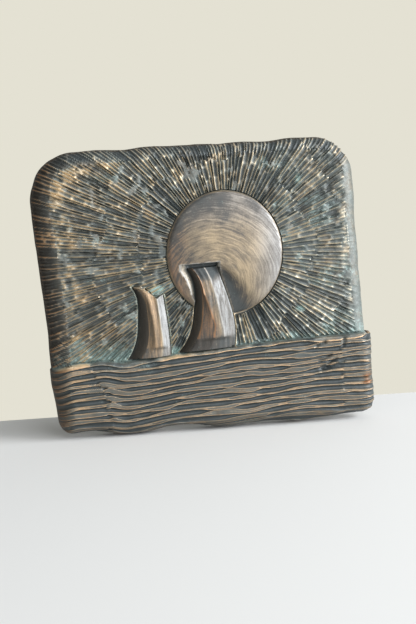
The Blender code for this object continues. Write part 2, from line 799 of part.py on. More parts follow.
def main():
    """Build the plaque."""
    clear_scene()
    plaque = build_plaque()
    plaque.data.materials.append(bronze())


main()
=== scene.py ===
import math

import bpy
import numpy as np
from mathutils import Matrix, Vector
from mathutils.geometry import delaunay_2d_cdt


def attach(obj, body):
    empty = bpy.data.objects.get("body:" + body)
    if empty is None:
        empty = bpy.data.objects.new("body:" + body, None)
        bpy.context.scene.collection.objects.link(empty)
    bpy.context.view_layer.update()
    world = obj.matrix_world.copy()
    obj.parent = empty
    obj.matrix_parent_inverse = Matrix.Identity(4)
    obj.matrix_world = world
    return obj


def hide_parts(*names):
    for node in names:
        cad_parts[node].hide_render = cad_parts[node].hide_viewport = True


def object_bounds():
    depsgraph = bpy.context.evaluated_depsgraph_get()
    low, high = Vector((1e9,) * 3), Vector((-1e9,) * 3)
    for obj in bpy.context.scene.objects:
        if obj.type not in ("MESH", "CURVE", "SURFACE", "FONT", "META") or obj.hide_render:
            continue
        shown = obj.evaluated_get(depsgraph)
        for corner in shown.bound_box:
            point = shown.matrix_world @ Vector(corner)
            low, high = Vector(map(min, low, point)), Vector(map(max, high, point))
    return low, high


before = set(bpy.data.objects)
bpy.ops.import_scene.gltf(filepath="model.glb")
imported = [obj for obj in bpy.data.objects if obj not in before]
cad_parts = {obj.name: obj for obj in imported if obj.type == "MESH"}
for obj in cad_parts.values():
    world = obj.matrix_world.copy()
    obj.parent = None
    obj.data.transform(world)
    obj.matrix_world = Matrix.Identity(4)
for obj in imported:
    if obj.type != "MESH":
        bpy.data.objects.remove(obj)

# %% [markdown]
# # A cast bronze wall plaque
#
# The plaque is one bronze casting, about 15 cm wide. A sculptor carved the model by hand:
# hundreds of gouge strokes run out from a low domed sun, two standing stones rise in front
# of it, and a thicker band of wavy water closes the picture below. The casting was darkened
# with a patina, and then the high edges were rubbed until the metal shone through.
#
# The frame holds a solid with the right outline and the main carving. This lesson dresses
# it: one finer mesh takes its place, then a bronze finish, a pale floor, soft light and a
# camera follow.

MM = 0.001
solid_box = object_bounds()
low, high = (np.array(corner) / MM for corner in solid_box)
print("solid box in mm:", low.round(1), "to", high.round(1))

# %% [markdown]
# ## Unevenness that repeats
#
# A hand never works evenly. Smooth noise gives that: random values on a coarse grid, with
# soft steps between them. Each use has its own seed, so every run makes the same plaque.

# %% Smooth noise
GRID = 89


def unevenness(x, z, cell, seed):
    """Smooth values from -1 to 1 whose blobs are about one cell across."""
    table = np.random.default_rng(seed).uniform(-1, 1, (GRID, GRID))
    gx, gz = np.asarray(x) / cell, np.asarray(z) / cell
    ix, iz = np.floor(gx).astype(int), np.floor(gz).astype(int)
    fx, fz = gx - ix, gz - iz
    fx, fz = fx * fx * (3 - 2 * fx), fz * fz * (3 - 2 * fz)
    near = table[ix % GRID, iz % GRID] * (1 - fx) + table[(ix + 1) % GRID, iz % GRID] * fx
    far = table[ix % GRID, (iz + 1) % GRID] * (1 - fx) + table[(ix + 1) % GRID, (iz + 1) % GRID] * fx
    return near * (1 - fz) + far * fz


def ease(value, start, end):
    """0 before start, 1 after end, with a soft step between."""
    share = np.clip((value - start) / (end - start), 0, 1)
    return share * share * (3 - 2 * share)


print("noise at three places:", unevenness(np.array([0, 4, 8]), np.zeros(3), 10.0, 1).round(2))

# %% [markdown]
# ## The plan of the plate
#
# Seen from the front, the plate is a rounded square that a hand has made: no two sides are
# parallel, and the water steps out a little at both ends. Its outline is worked out from
# eight corners, some of them rounded by an arc. The top edge of the water is a shallow wave
# that swells near its left end. All sizes below are in millimetres, from the middle of the
# back, with x to the right and z up.

# %% The outline
LEFT_AT_TOP, LEFT_AT_WATER = 77.8, 75.1
RIGHT_AT_TOP, RIGHT_AT_WATER = 73.5, 74.8
TOP_AT_LEFT, TOP_AT_RIGHT = 67.4, 65.5
BOTTOM_AT_LEFT, BOTTOM_AT_RIGHT = 60.2, 69.0
BAND_STEP_LEFT, BAND_STEP_RIGHT = 0.6, 2.6
CORNER_TOP_LEFT, CORNER_TOP_RIGHT = 20.0, 18.0
CORNER_BOTTOM_LEFT, CORNER_BOTTOM_RIGHT = 8.0, 9.0
WATER_LINE, WATER_LINE_WAVE, WAVE_LENGTH = 28.4, 0.9, 64.0
LINE_TURN, LINE_START = 2.2, 0.6
LEFT_SWELL, SWELL_RISES, SWELL_FALLS = 1.8, (-75, -66), (-54, -42)
LIP_SLOPE = 0.7
OUTLINE_STEP = 0.36


def water_line(x):
    """Height of the top edge of the water at x, which swells near its left end."""
    swell = LEFT_SWELL * ease(x, *SWELL_RISES) * (1 - ease(x, *SWELL_FALLS))
    return -WATER_LINE + WATER_LINE_WAVE * np.sin(x / WAVE_LENGTH * LINE_TURN + LINE_START) + swell


def corner_arc(before, corner, after, radius, steps=24):
    """Points of the arc that rounds a corner of the outline."""
    arms = [np.subtract(end, corner) for end in (before, after)]
    arms = [arm / np.linalg.norm(arm) for arm in arms]
    half = math.acos(float(arms[0] @ arms[1])) / 2
    middle = (arms[0] + arms[1]) / np.linalg.norm(arms[0] + arms[1])
    centre = np.asarray(corner) + middle * radius / math.sin(half)
    first, last = (corner + arm * radius / math.tan(half) - centre for arm in arms)
    sweep = math.pi - 2 * half
    share = np.linspace(0, 1, steps + 1)[:, None]
    blend = first * np.sin((1 - share) * sweep) + last * np.sin(share * sweep)
    return list(centre + blend / math.sin(sweep))


def plate_outline():
    """Bends of the outline, counter-clockwise from the left end of the water line."""
    lip = LIP_SLOPE / 2
    left_line, right_line = float(water_line(-LEFT_AT_WATER)), float(water_line(RIGHT_AT_WATER))
    corners = [
        ((-LEFT_AT_WATER, left_line + lip), 0),
        ((-LEFT_AT_WATER - BAND_STEP_LEFT, left_line - lip), 0),
        ((-LEFT_AT_WATER, -BOTTOM_AT_LEFT), CORNER_BOTTOM_LEFT),
        ((RIGHT_AT_WATER + BAND_STEP_RIGHT, -BOTTOM_AT_RIGHT), CORNER_BOTTOM_RIGHT),
        ((RIGHT_AT_WATER + BAND_STEP_RIGHT, right_line - lip), 0),
        ((RIGHT_AT_WATER, right_line + lip), 0),
        ((RIGHT_AT_TOP, TOP_AT_RIGHT), CORNER_TOP_RIGHT),
        ((-LEFT_AT_TOP, TOP_AT_LEFT), CORNER_TOP_LEFT),
    ]
    bends = []
    for number, (corner, radius) in enumerate(corners):
        if radius:
            after = corners[(number + 1) % len(corners)][0]
            bends += corner_arc(corners[number - 1][0], corner, after, radius)
        else:
            bends.append(np.array(corner))
    return np.array(bends)


def walk(line, step):
    """Points at a steady step along a closed line, keeping its sharp bends."""
    points = []
    for start, end in zip(line, np.roll(line, -1, axis=0)):
        pieces = max(1, round(math.dist(start, end) / step))
        points += [start + (end - start) * piece / pieces for piece in range(pieces)]
    return np.array(points)


bends = plate_outline()
print("plain outline:", len(bends), "bends")

# %% [markdown]
# The real edge isn't this plain. Its bottom hangs in soft scallops, and all round the hand
# took a little more in one place than in the next. So the outline becomes a line of many
# points, and each point moves by its own amount.

# %% The scalloped and hand-cut edge
SCALLOP, SCALLOP_LENGTH, SCALLOP_PLACE, SCALLOP_FADE = 1.6, 41.0, 3.0, 8.0
LOSS, LOSS_AT_BOTTOM, LOSS_AT_TOP, LOSS_GROWS = 0.8, 0.7, 0.4, (40, 56)


def outward_of(line, reach):
    """Outward direction at each point of a closed line, evened out over its neighbours."""
    steps = range(1, reach + 1)
    along = sum(np.roll(line, -step, axis=0) - np.roll(line, step, axis=0) for step in steps)
    along /= np.linalg.norm(along, axis=1)[:, None]
    return np.stack([along[:, 1], -along[:, 0]], axis=1)


def bottom_scallop(points):
    """How far the scalloped bottom edge hangs below its straight line at each point."""
    x, z = points.T
    near_bottom = np.clip((SCALLOP_FADE - BOTTOM_AT_LEFT - z) / SCALLOP_FADE, 0, 1)
    return SCALLOP * near_bottom * (1 + np.cos(2 * np.pi * (x - SCALLOP_PLACE) / SCALLOP_LENGTH)) / 2


def uneven_edge(points):
    """How far the hand-cut edge falls short of the plain outline, most along the bottom."""
    x, z = points.T
    most = LOSS + LOSS_AT_BOTTOM * ease(-z, *LOSS_GROWS) + LOSS_AT_TOP * ease(z, *LOSS_GROWS)
    slow = np.clip(0.5 + 0.5 * unevenness(x + z, 0 * x, 11.0, 5), 0, 1) ** 1.5
    return most * slow + 0.1 * (1 + unevenness(x + z, 0 * x, 3.5, 6))


outline = walk(bends, OUTLINE_STEP)
outline[:, 1] -= bottom_scallop(outline)
outline = outline - outward_of(outline, 2) * uneven_edge(outline)[:, None]
print("outline:", len(outline), "points, from", outline.min(axis=0), "to", outline.max(axis=0))

# %% [markdown]
# ## Thickness and the rolled rim
#
# The sky is about 9 mm thick and the water 11.4 mm. All round, the front rolls over like a
# pillow edge until it meets a short side wall. The roll is a quarter of an ellipse: its
# height depends only on how far a point is from the outline, as a share of the roll's width.

# %% Distance to the outline, and the height of the plain plate
SKY_THICKNESS, BAND_THICKNESS = 9.0, 11.4
RIM_WALL, BACK_BEVEL = 2.6, 0.8
ROLL_LEFT, ROLL_RIGHT, ROLL_TOP, ROLL_BOTTOM = 8.5, 6.5, 5.5, 6.0
BATCH = 4000


def nearest_on(points, line):
    """Distance from each point to a closed line, worked out in batches."""
    ahead = np.roll(line, -1, axis=0) - line
    found = []
    for batch in np.array_split(points, max(1, len(points) // BATCH)):
        offset = batch[:, None, :] - line[None, :, :]
        share = np.clip((offset * ahead).sum(axis=2) / (ahead * ahead).sum(axis=1), 0, 1)
        found.append(np.linalg.norm(offset - share[:, :, None] * ahead, axis=2).min(axis=1))
    return np.concatenate(found)


def inside(points, line):
    """True for each point inside a closed line."""
    after = np.roll(line, -1, axis=0)
    drop = after[:, 1] - line[:, 1]
    slope = (after[:, 0] - line[:, 0]) / np.where(drop == 0, 1.0, drop)
    found = []
    for batch in np.array_split(points, max(1, len(points) // BATCH)):
        x, z = batch[:, :1], batch[:, 1:]
        crosses = (line[:, 1] > z) != (after[:, 1] > z)
        found.append((crosses & (x < line[:, 0] + (z - line[:, 1]) * slope)).sum(axis=1) % 2 == 1)
    return np.concatenate(found)


def roll_width(points):
    """Width of the rolled rim near each point."""
    across, up = points[:, 0] / LEFT_AT_WATER, points[:, 1] / TOP_AT_LEFT
    side = np.where(across < 0, ROLL_LEFT, ROLL_RIGHT)
    end = np.where(up < 0, ROLL_BOTTOM, ROLL_TOP)
    share = across**4 / (across**4 + up**4 + 1e-9)
    return end + (side - end) * share


def roll_share(points):
    """Distance from the outline as a share of the rolled rim."""
    return nearest_on(points, bends) / roll_width(points)


def rolled(share, thickness):
    """Height over the back where the rim rolls over."""
    share = np.clip(share, 0, 1)
    return RIM_WALL + (thickness - RIM_WALL) * np.sqrt(1 - (1 - share) ** 2)


across_roll = rolled(np.array([0, 0.5, 1]), SKY_THICKNESS)
print("height of the sky's roll at its edge, middle and end:", across_roll.round(2), "mm")

# %% [markdown]
# ## A sheet of lifted points
#
# Blender can turn loose points on a plane into triangles, and it keeps any line that it is
# told to keep. So the carving is laid out flat first, with many points where the relief
# changes fast, and each point carries its own height, the place that it ends up in, and its
# finish: how rubbed, burnished, streaked, damp or warm-coloured the metal is there.

# %% The sheet
FINISHES = ("rubbed", "burnished", "streaked", "damp", "warm")


class Sheet:
    """Flat points with their lifted places and finish, and the lines to keep."""

    def __init__(self):
        self.flat, self.lifted, self.lines = [], [], []
        self.finish = {name: [] for name in FINISHES}
        self.count = 0

    def add(self, points, height, line=False, closed=False, shift=None, **finish):
        """Add points with a height over the back, and keep the line through them if asked."""
        points = np.asarray(points, dtype=float)
        size = len(points)
        moved = points if shift is None else points + shift
        self.flat.append(points)
        self.lifted.append(np.stack([moved[:, 0], np.broadcast_to(height, size), moved[:, 1]], axis=1))
        for name in FINISHES:
            self.finish[name].append(np.broadcast_to(finish.get(name, 0.0), size))
        if line:
            self.lines += [(self.count + step, self.count + step + 1) for step in range(size - 1)]
        if closed:
            self.lines.append((self.count + size - 1, self.count))
        self.count += size


sheet = Sheet()
print("a sheet that keeps", len(FINISHES), "finishes:", *FINISHES)

# %% [markdown]
# ## The stones
#
# Each stone is a few flat facets: a steep left flank that falls into a groove, a narrow
# front with a ridge on each side, and a broad right face that catches the light. A stone is
# described from head to foot, so every cut across it follows the same rule. Near the foot the
# ridges end on a smooth base. The small stone's head runs out into a horn on the left.

# %% The shape of a stone
EDGE_SLOPE, STONE_GROOVE, BASE_TOP = 0.8, 1.2, 0.86
HORN_FADE, FLAT_FADE = 0.25, 0.01
GROOVE_AT_HORN, GROOVE_AT_HEAD = 0.1, 0.45
BEVEL_END, HEAD_DIP = 0.38, 0.62


class Stone:
    """A standing stone, hollow on the left and swelling on the right, with its wear."""

    def __init__(self, x, height, widths, lean, bows, hollow_place, flank, rises, horn, bevel,
                 gap, ridges, hoods, wear):
        self.x, self.widths, self.lean, self.bows, self.hollow_place = x, widths, lean, bows, hollow_place
        self.flank, self.rises, self.horn, self.bevel, self.gap = flank, rises, horn, bevel, gap
        self.ridge_lines, self.hoods, self.wear = ridges, hoods, wear
        self.foot = float(water_line(x)) + LIP_SLOPE
        self.head = self.foot + height

    def share(self, z):
        """Share of the way down from the tip to the foot."""
        return np.clip((self.head + self.horn - z) / (self.head + self.horn - self.foot), 0, 1)

    def fading(self, zs):
        """How far each row of points still follows the line of the head."""
        reach = HORN_FADE * (self.head - self.foot) if self.horn else FLAT_FADE
        return np.clip(1 - (self.head - zs) / reach, 0, 1)

    def sides(self, z):
        """Left and right edge at z."""
        down = self.share(z)
        half = (self.widths[0] + (self.widths[1] - self.widths[0]) * down) / 2
        hollow = self.bows[0] * (1 - np.abs(2 * down**self.hollow_place - 1) ** 3)
        swell = self.bows[1] * np.sin(math.pi * down**1.5) ** 0.8
        middle = self.x + self.lean * down
        return middle - half + hollow, middle + half + swell

    def groove(self, z):
        """Foot of the steep left flank at z."""
        at_head = GROOVE_AT_HORN if self.horn else GROOVE_AT_HEAD
        return self.sides(z)[0] - self.flank * (at_head + (1 - at_head) * self.share(z) ** 0.5)

    def field_edge(self, z):
        """Where the ground starts on the left, bevelled wide beside the head."""
        return self.groove(z) - 0.5 - self.bevel * np.sqrt(np.clip(1 - self.share(z) / BEVEL_END, 0, 1))

    def top(self, across):
        """Line of the head over a share of the width, dipping between two horns."""
        left_horn = np.clip((HEAD_DIP - across) / HEAD_DIP, 0, 1.6)
        right_horn = np.clip((across - HEAD_DIP) / (1 - HEAD_DIP), 0, 1)
        return self.head + self.horn * (left_horn + 0.25 * right_horn)

    def ridges(self, z):
        """Places across the width where the facets meet, as shares."""
        levels, first, second = self.ridge_lines
        down = self.share(z)
        return np.interp(down, levels, first), np.interp(down, levels, second)

    def height(self, across, z):
        """Height over the back at a share of the width and a height z."""
        down = self.share(z)
        rise = self.rises[0] + (self.rises[1] - self.rises[0]) * np.clip(down * 2.2, 0, 1)
        first, second = self.ridges(z)
        left = 0.62 + 0.38 * np.clip(across / first, 0, 1)
        front = 1 - 0.05 * np.clip((across - first) / (second - first), 0, 1)
        right = 0.95 - 0.7 * np.clip((across - second) / (1 - second), 0, 1)
        faceted = np.where(across < first, left, np.where(across < second, front, right))
        base = ease(down, BASE_TOP, BASE_TOP + 0.03)
        rounded = 0.62 + 0.16 * np.sin(math.pi * np.clip(across, 0, 1)) - 0.25 * across**3
        faceted = faceted * (1 - base) + rounded * base
        return SKY_THICKNESS + rise * faceted

    def covers(self, points, margin):
        """True for points on the stone or nearer to it than the margin."""
        left, right = self.sides(points[:, 1])
        across = np.clip((points[:, 0] - left) / (right - left), -0.6, 1)
        low = points[:, 1] < self.top(across) + self.gap + margin
        beside = points[:, 0] > self.field_edge(points[:, 1]) - margin
        return low & beside & (points[:, 0] < right + EDGE_SLOPE + margin)


# %% [markdown]
# The two stones share that rule and differ only in their numbers. The bows say how far the
# left side is hollowed and the right side swells, the flank how wide the steep left side is,
# and the rises how far the stone stands over the sky at its head and foot. The bevel and the
# gap shape the ground beside and over the head, and the hoods are levels in that gap. The
# ridges are given at a few levels from head to foot: where the first and the second one
# stand across the width. The wear says how much of the metal is bare, how warm it looks, how
# strong the streaks are, and how bare and damp the ground is right round the stone. Its
# shaded head is painted shade: it keeps the metal near the top of the stone less bare, so the
# head is drawn darker.

# %% The tall stone and the small stone
TALL_RIDGES = ((0.0, 0.3, 0.44, 0.59, 0.70, 0.88, 1.0),
               (0.03, 0.03, 0.165, 0.29, 0.40, 0.42, 0.40),
               (0.50, 0.51, 0.53, 0.56, 0.60, 0.70, 0.72))
SMALL_RIDGES = ((0.0, 0.35, 0.6, 0.88, 1.0),
                (0.10, 0.14, 0.20, 0.34, 0.36),
                (0.66, 0.60, 0.60, 0.70, 0.72))
TALL_WEAR = {"bare": 0.56, "shaded_head": 0.75, "warm": 0.7, "cool_front": 0.5, "streaks": 0.2,
             "bare_round": 0.95, "damp_round": 0.5}
SMALL_WEAR = {"bare": 0.86, "shaded_head": 0.0, "warm": 0.25, "cool_front": 0.0, "streaks": 0.32,
              "bare_round": 0.55, "damp_round": 1.5}
tall = Stone(x=-2.2, height=37.4, widths=(12.0, 21.4), lean=0.3, bows=(5.6, 2.6), hollow_place=1.0,
             flank=3.8, rises=(1.7, 4.4), horn=0.0, bevel=3.4, gap=2.3,
             ridges=TALL_RIDGES, hoods=(0.2, 0.82), wear=TALL_WEAR)
small = Stone(x=-28.9, height=26.4, widths=(12.4, 13.2), lean=1.2, bows=(4.8, 0.6), hollow_place=0.85,
              flank=5.9, rises=(2.2, 3.8), horn=6.0, bevel=0.0, gap=0.5,
              ridges=SMALL_RIDGES, hoods=(0.5,), wear=SMALL_WEAR)
print("stone heads at z =", round(tall.head, 1), "and", round(small.head, 1), "mm")

# %% [markdown]
# ## The sun
#
# The sun is a low dome with a crisp step round it. A thumb-wide hollow beside the tall stone
# lets the light die away there. Rings of points follow the dome, closer near its edge.

# %% The height of the sun
SUN_X, SUN_Z = 8.2, 15.6
SUN_HALF_WIDTH, SUN_HALF_HEIGHT = 26.8, 28.3
SUN_STEP, SUN_DOME, SUN_EDGE_SLOPE = 1.3, 2.3, 0.6
SUN_BEVEL, BEVEL_START = 0.35, 0.955
SUN_HOLLOW, HOLLOW_AT_HEAD, HOLLOW_AT_FOOT = 2.2, 3.2, 12.0


def sun_radius(points):
    """Distance from the middle of the sun, 1 on its edge."""
    return np.hypot((points[:, 0] - SUN_X) / SUN_HALF_WIDTH, (points[:, 1] - SUN_Z) / SUN_HALF_HEIGHT)


def hollow_share(points):
    """Share of the depth of the hollow beside the tall stone, which widens towards its foot."""
    beside = np.clip(points[:, 0] - tall.sides(points[:, 1])[1], 0, None)
    down = np.clip((tall.head - points[:, 1]) / (tall.head - SUN_Z + SUN_HALF_HEIGHT), -1, 1)
    width = HOLLOW_AT_HEAD + (HOLLOW_AT_FOOT - HOLLOW_AT_HEAD) * np.clip(down, 0, 1)
    right_side = points[:, 0] > tall.sides(points[:, 1])[0] + 2
    return np.exp(-((beside / width) ** 3)) * ease(down, -0.06, 0.2) * right_side


def sun_height(points):
    """Height over the back of the sun's face."""
    radius = np.clip(sun_radius(points), 0, 1)
    dome = SUN_DOME * (1 - radius**2) - SUN_BEVEL * ease(radius, BEVEL_START, 1.0)
    x, z = points.T
    dents = 0.10 * unevenness(x, z, 9.0, 11) + 0.03 * unevenness(x, z, 2.5, 12)
    return SKY_THICKNESS + SUN_STEP + dome - SUN_HOLLOW * hollow_share(points) + dents


def ground_height(points):
    """Height of the sky or the sun."""
    return np.where(sun_radius(points) < 1, sun_height(points), SKY_THICKNESS)


across_sun = np.array([[SUN_X + SUN_HALF_WIDTH * share, SUN_Z] for share in (0, 0.5, 0.99)])
print("height of the sun from its middle to its edge:", sun_height(across_sun).round(1), "mm")

# %% [markdown]
# The sun was rubbed until it shone, most in the middle and low on the right. At its top and
# left more dark skin is drawn, partly real skin and partly painted shade where the dome turns
# away from the light, and the hollow beside the tall stone is painted dark as shade. At the
# left the metal is coppery; at the right and the top it turns silver-grey, partly a painted
# reflection of the light.

# %% Laying out the sun
SUN_CELL, EDGE_CELL, EDGE_RING = 0.75, 0.5, 0.35
STONE_ROOM = 0.3


def sun_ring(radius, count):
    """Points on one ring of the sun."""
    angles = 2 * np.pi * np.arange(count) / count
    return np.stack([SUN_X + SUN_HALF_WIDTH * radius * np.cos(angles),
                     SUN_Z + SUN_HALF_HEIGHT * radius * np.sin(angles)], axis=1)


def clear_of_stones(points, margin):
    """True for points that no stone covers."""
    return ~(tall.covers(points, margin) | small.covers(points, margin))


def lay_open_ring(points, height, **finish):
    """Add a ring whose line is broken where a stone stands."""
    free = clear_of_stones(points, STONE_ROOM)
    start = int(np.argmin(free))
    points, free, height = np.roll(points, -start, axis=0), np.roll(free, -start), np.roll(height, -start)
    runs = np.split(np.arange(len(points)), np.flatnonzero(np.diff(free.astype(int))) + 1)
    for run in runs:
        if free[run[0]] and len(run) > 1:
            sheet.add(points[run], height[run], line=True, **finish)


def sun_wear_and_shade(points):
    """How bare the sun is, from a dark 0.1 to a fully rubbed 1, with painted shade at its top and left and
    in the hollow.
    """
    x, z = points.T
    # Painted shade: less bare towards the top and the left, where the dome turns from the light, and far
    # less in the hollow; partly real unrubbed skin.
    stain_and_shade = ease(z, 16, 38) + 0.9 * ease(-x, -4, 17) + 0.45 * unevenness(x, z, 8.0, 13)
    stain_and_shade += 0.25 * unevenness(x, z, 2.4, 14) + 1.7 * hollow_share(points)
    return np.clip(0.86 - 0.44 * stain_and_shade, 0.1, 1.0)


edge_count = round(2 * math.pi * SUN_HALF_WIDTH / EDGE_CELL)
foot_ring = sun_ring(1 + SUN_EDGE_SLOPE / SUN_HALF_WIDTH, edge_count)
top_ring = sun_ring(1.0, edge_count)
lay_open_ring(foot_ring, np.full(edge_count, SKY_THICKNESS - 0.75))
lay_open_ring(top_ring, sun_height(top_ring), rubbed=0.8, burnished=1.0)
radius = 1 - EDGE_RING / SUN_HALF_WIDTH
while radius > 0.02:
    ring = sun_ring(radius, max(6, round(2 * math.pi * radius * SUN_HALF_WIDTH / SUN_CELL)))
    ring = ring[clear_of_stones(ring, STONE_ROOM)]
    x, z = ring.T
    # The sun turns silver-grey at the right and the top, partly a painted reflection of the light.
    warm = 0.6 * ease(-x, 6, 17) - 0.8 * ease(x, 16, 34) - 0.6 * ease(z, 24, 42)
    sheet.add(ring, sun_height(ring), rubbed=sun_wear_and_shade(ring), burnished=1.0, warm=warm)
    radius -= (EDGE_RING if radius > 0.94 else SUN_CELL) / SUN_HALF_WIDTH
print("sun laid out,", sheet.count, "points so far")

# %% [markdown]
# ## Laying out the stones
#
# The facets are cut into narrow columns. Their faces aren't quite flat: shallow streaks run
# down them, as a rasp leaves. Beside the tall stone, the notch in the sun gets its sloped
# left wall and its dark gap over the head.

# %% The stones' facets
FACET_COLUMNS = 9
FACET_EDGES = tuple(FACET_COLUMNS * edge for edge in range(4))


def stone_columns(stone, z_row):
    """Shares across a stone, closest together where its facets meet."""
    first, second = stone.ridges(np.float64(z_row))
    parts = [np.linspace(start, end, FACET_COLUMNS, endpoint=False)
             for start, end in ((0, first), (first, second), (second, 1))]
    return np.concatenate(parts + [[1.0]])


def lay_facets(stone, zs, seed):
    """Lay out the facets of one stone, row by row."""
    for z_row, fade in zip(zs, stone.fading(zs)):
        across = stone_columns(stone, z_row)
        down = float(stone.share(z_row))
        z = z_row + (stone.top(across) - stone.head) * fade
        left, right = stone.sides(z)
        x = left + (right - left) * across
        streaks = stone.wear["streaks"] * unevenness(across * 9, 0.9 * down + 0 * across, 1.0, seed)
        streaks += 0.1 * unevenness(across * 26, 2 * down + 0 * across, 1.0, seed + 1)
        inner = np.clip(np.minimum(across, 1 - across) / 0.06, 0, 1) * (1 - 0.7 * ease(down, BASE_TOP, 1.0))
        ridge = np.isin(np.arange(len(across)), FACET_EDGES)
        bare = stone.wear["bare"] + 0.2 * unevenness(x, z / 5, 1.2, seed + 2)
        # Painted shade: the metal near the head is kept less bare, so the top of the stone is darker.
        bare = bare - stone.wear["shaded_head"] * ease(0.2 - down, 0.0, 0.15)
        dull_base = 0.3 * ease(down, BASE_TOP - 0.02, BASE_TOP + 0.02)
        bare = np.where(ridge & (down < BASE_TOP), 1.1, bare - dull_base)
        first, second = stone.ridges(np.float64(z_row))
        bare = bare - 0.15 * (across < first + 0.02)
        # The right face, which catches the light, turns silver-grey: partly a painted reflection of that
        # light.
        warm = stone.wear["warm"] - 1.2 * ease(across, second - 0.12, second + 0.05)
        warm = warm - stone.wear["cool_front"] * ease(across, first, first + 0.1)
        sheet.add(np.stack([x, z], axis=1), stone.height(across, z) + streaks * inner,
                  rubbed=bare, burnished=0.9, streaked=1.0, warm=warm, line=True)


# %% [markdown]
# Round the facets comes everything that sets a stone off from its ground: the groove and the
# rough flank at its left, a narrow ditch at its right, and the gap over its head. The edge of
# the ground round all this was rubbed too, and holds verdigris beside the small stone.

# %% Grooves, flanks and notch
FLANK_SHARES = (0.2, 0.4, 0.6, 0.8, 0.93)
DITCH_PLACE, DITCH_DEPTH = 0.45, 0.7


def lay_stone(stone, rows, seed):
    """Lay out one stone with everything cut round it."""
    zs = stone.head + (stone.foot - stone.head) * np.linspace(0, 1, rows)
    lay_facets(stone, zs, seed)
    zs_left, zs_right = (zs + (float(stone.top(np.float64(side))) - stone.head) * stone.fading(zs)
                         for side in (0, 1))
    groove = np.stack([stone.groove(zs_left), zs_left], axis=1)
    sheet.add(groove, SKY_THICKNESS - STONE_GROOVE, line=True)
    left = stone.sides(zs_left)[0]
    low_edge, high_edge = SKY_THICKNESS - STONE_GROOVE, stone.height(np.zeros(rows), zs_left)
    for share in FLANK_SHARES:
        flank = np.stack([groove[:, 0] + (left - groove[:, 0]) * share, zs_left], axis=1)
        rough = 0.3 * unevenness(share * 3 + 0 * zs_left, zs_left / 7, 1.0, seed + 3)
        # The flank faces left, away from the light, and is left almost unrubbed and warm, so it is drawn in
        # dark brown skin: partly real skin, partly painted shade.
        sheet.add(flank, low_edge + (high_edge - low_edge) * share**0.75 + rough * (1 - share),
                  rubbed=0.02 + 0.45 * share**4, burnished=0.5, streaked=1.0, warm=0.75)
    right_edge = stone.sides(zs_right)[1]
    ditch = np.stack([right_edge + EDGE_SLOPE * DITCH_PLACE, zs_right], axis=1)
    bank = np.minimum(ground_height(ditch), stone.height(np.ones(rows), zs_right))
    sheet.add(ditch[1:], bank[1:] - DITCH_DEPTH, line=True)
    across = np.linspace(0, 1, 9)
    head_left, head_right = stone.sides(np.float64(stone.head))
    head = np.stack([head_left + (head_right - head_left) * across, stone.top(across)], axis=1)
    for level in stone.hoods:
        hood = np.vstack([groove[0], head]) + [0, stone.gap * level]
        sheet.add(hood, SKY_THICKNESS - STONE_GROOVE * 0.6, line=True)
    right = np.stack([right_edge + EDGE_SLOPE, zs_right], axis=1)
    field = np.stack([stone.field_edge(zs_left), zs_left], axis=1)
    rim = np.vstack([field[0], groove[0], head, right[0]]) + [0, stone.gap]
    loop = np.vstack([field[::-1], rim, right])
    on_sun = (sun_radius(loop) < 1) * 1.0
    sheet.add(loop, ground_height(loop), rubbed=stone.wear["bare_round"], burnished=on_sun,
              damp=stone.wear["damp_round"], warm=-0.8 * on_sun, line=True)


lay_stone(tall, 60, 21)
lay_stone(small, 46, 31)
print("stones laid out,", sheet.count, "points so far")

# %% [markdown]
# ## The rays
#
# The sky is cut with a small gouge, stroke beside stroke, all running out from the sun. A
# gouge leaves a round-bottomed trough, and a thin crest stands between two troughs. It bites
# in quickly, runs deep, and throws up a burr where it leaves the metal. The strokes are laid
# out in three belts, so that they stay about as wide all over. Inside a belt the crests run
# on, and each trough is broken where one stroke ends and the next begins.
#
# It is easiest to lay them out on the sun's own circles: an angle, and a distance from the
# middle. The circles are as oval as the sun.

# %% From places to the sun's own circles, and back
FINER_ON_THE_LEFT = 0.12


def to_circles(points):
    """Angle round the sun, and distance from its middle measured along its width."""
    across, up = (points[:, 0] - SUN_X) / SUN_HALF_WIDTH, (points[:, 1] - SUN_Z) / SUN_HALF_HEIGHT
    return np.arctan2(up, across) % (2 * np.pi), np.hypot(across, up) * SUN_HALF_WIDTH


def from_circles(angle, radius):
    """Places at an angle round the sun and a distance from its middle."""
    radius = radius / SUN_HALF_WIDTH
    return np.stack([SUN_X + SUN_HALF_WIDTH * radius * np.cos(angle),
                     SUN_Z + SUN_HALF_HEIGHT * radius * np.sin(angle)], axis=1)


def stroke_place(angle, strokes):
    """Number of strokes passed on the way round to an angle; they are finer on the left."""
    return strokes / (2 * np.pi) * (angle - FINER_ON_THE_LEFT * np.sin(angle))


def stroke_angle(place, strokes):
    """Angle at which that many strokes are passed."""
    turn = place / strokes * 2 * np.pi
    angle = turn
    for _ in range(6):
        angle = turn + FINER_ON_THE_LEFT * np.sin(angle)
    return angle


straight_up = to_circles(np.array([[SUN_X, 60.0]]))
print("straight up from the sun: angle", straight_up[0].round(2), "at", straight_up[1].round(1), "mm")

# %% [markdown]
# Chance makes each stroke its own: where its crests stand, how high they are, how long the
# cuts in it are, how deep each cut is, and how open it is at its end. About one crest in six
# was cut down by its neighbour, and stays low.

# %% One belt of strokes
RAY_PITCH, RAY_LENGTH, RAY_RISE = 1.5, 7.6, 1.0
BELTS = (27.3, 41.0, 59.0, 104.0)
BELT_MIDDLES = (34.5, 50.0, 71.0)
JITTER, LOW_CRESTS, LOW_CREST = 0.27, 0.16, 0.35
CUTS = 16


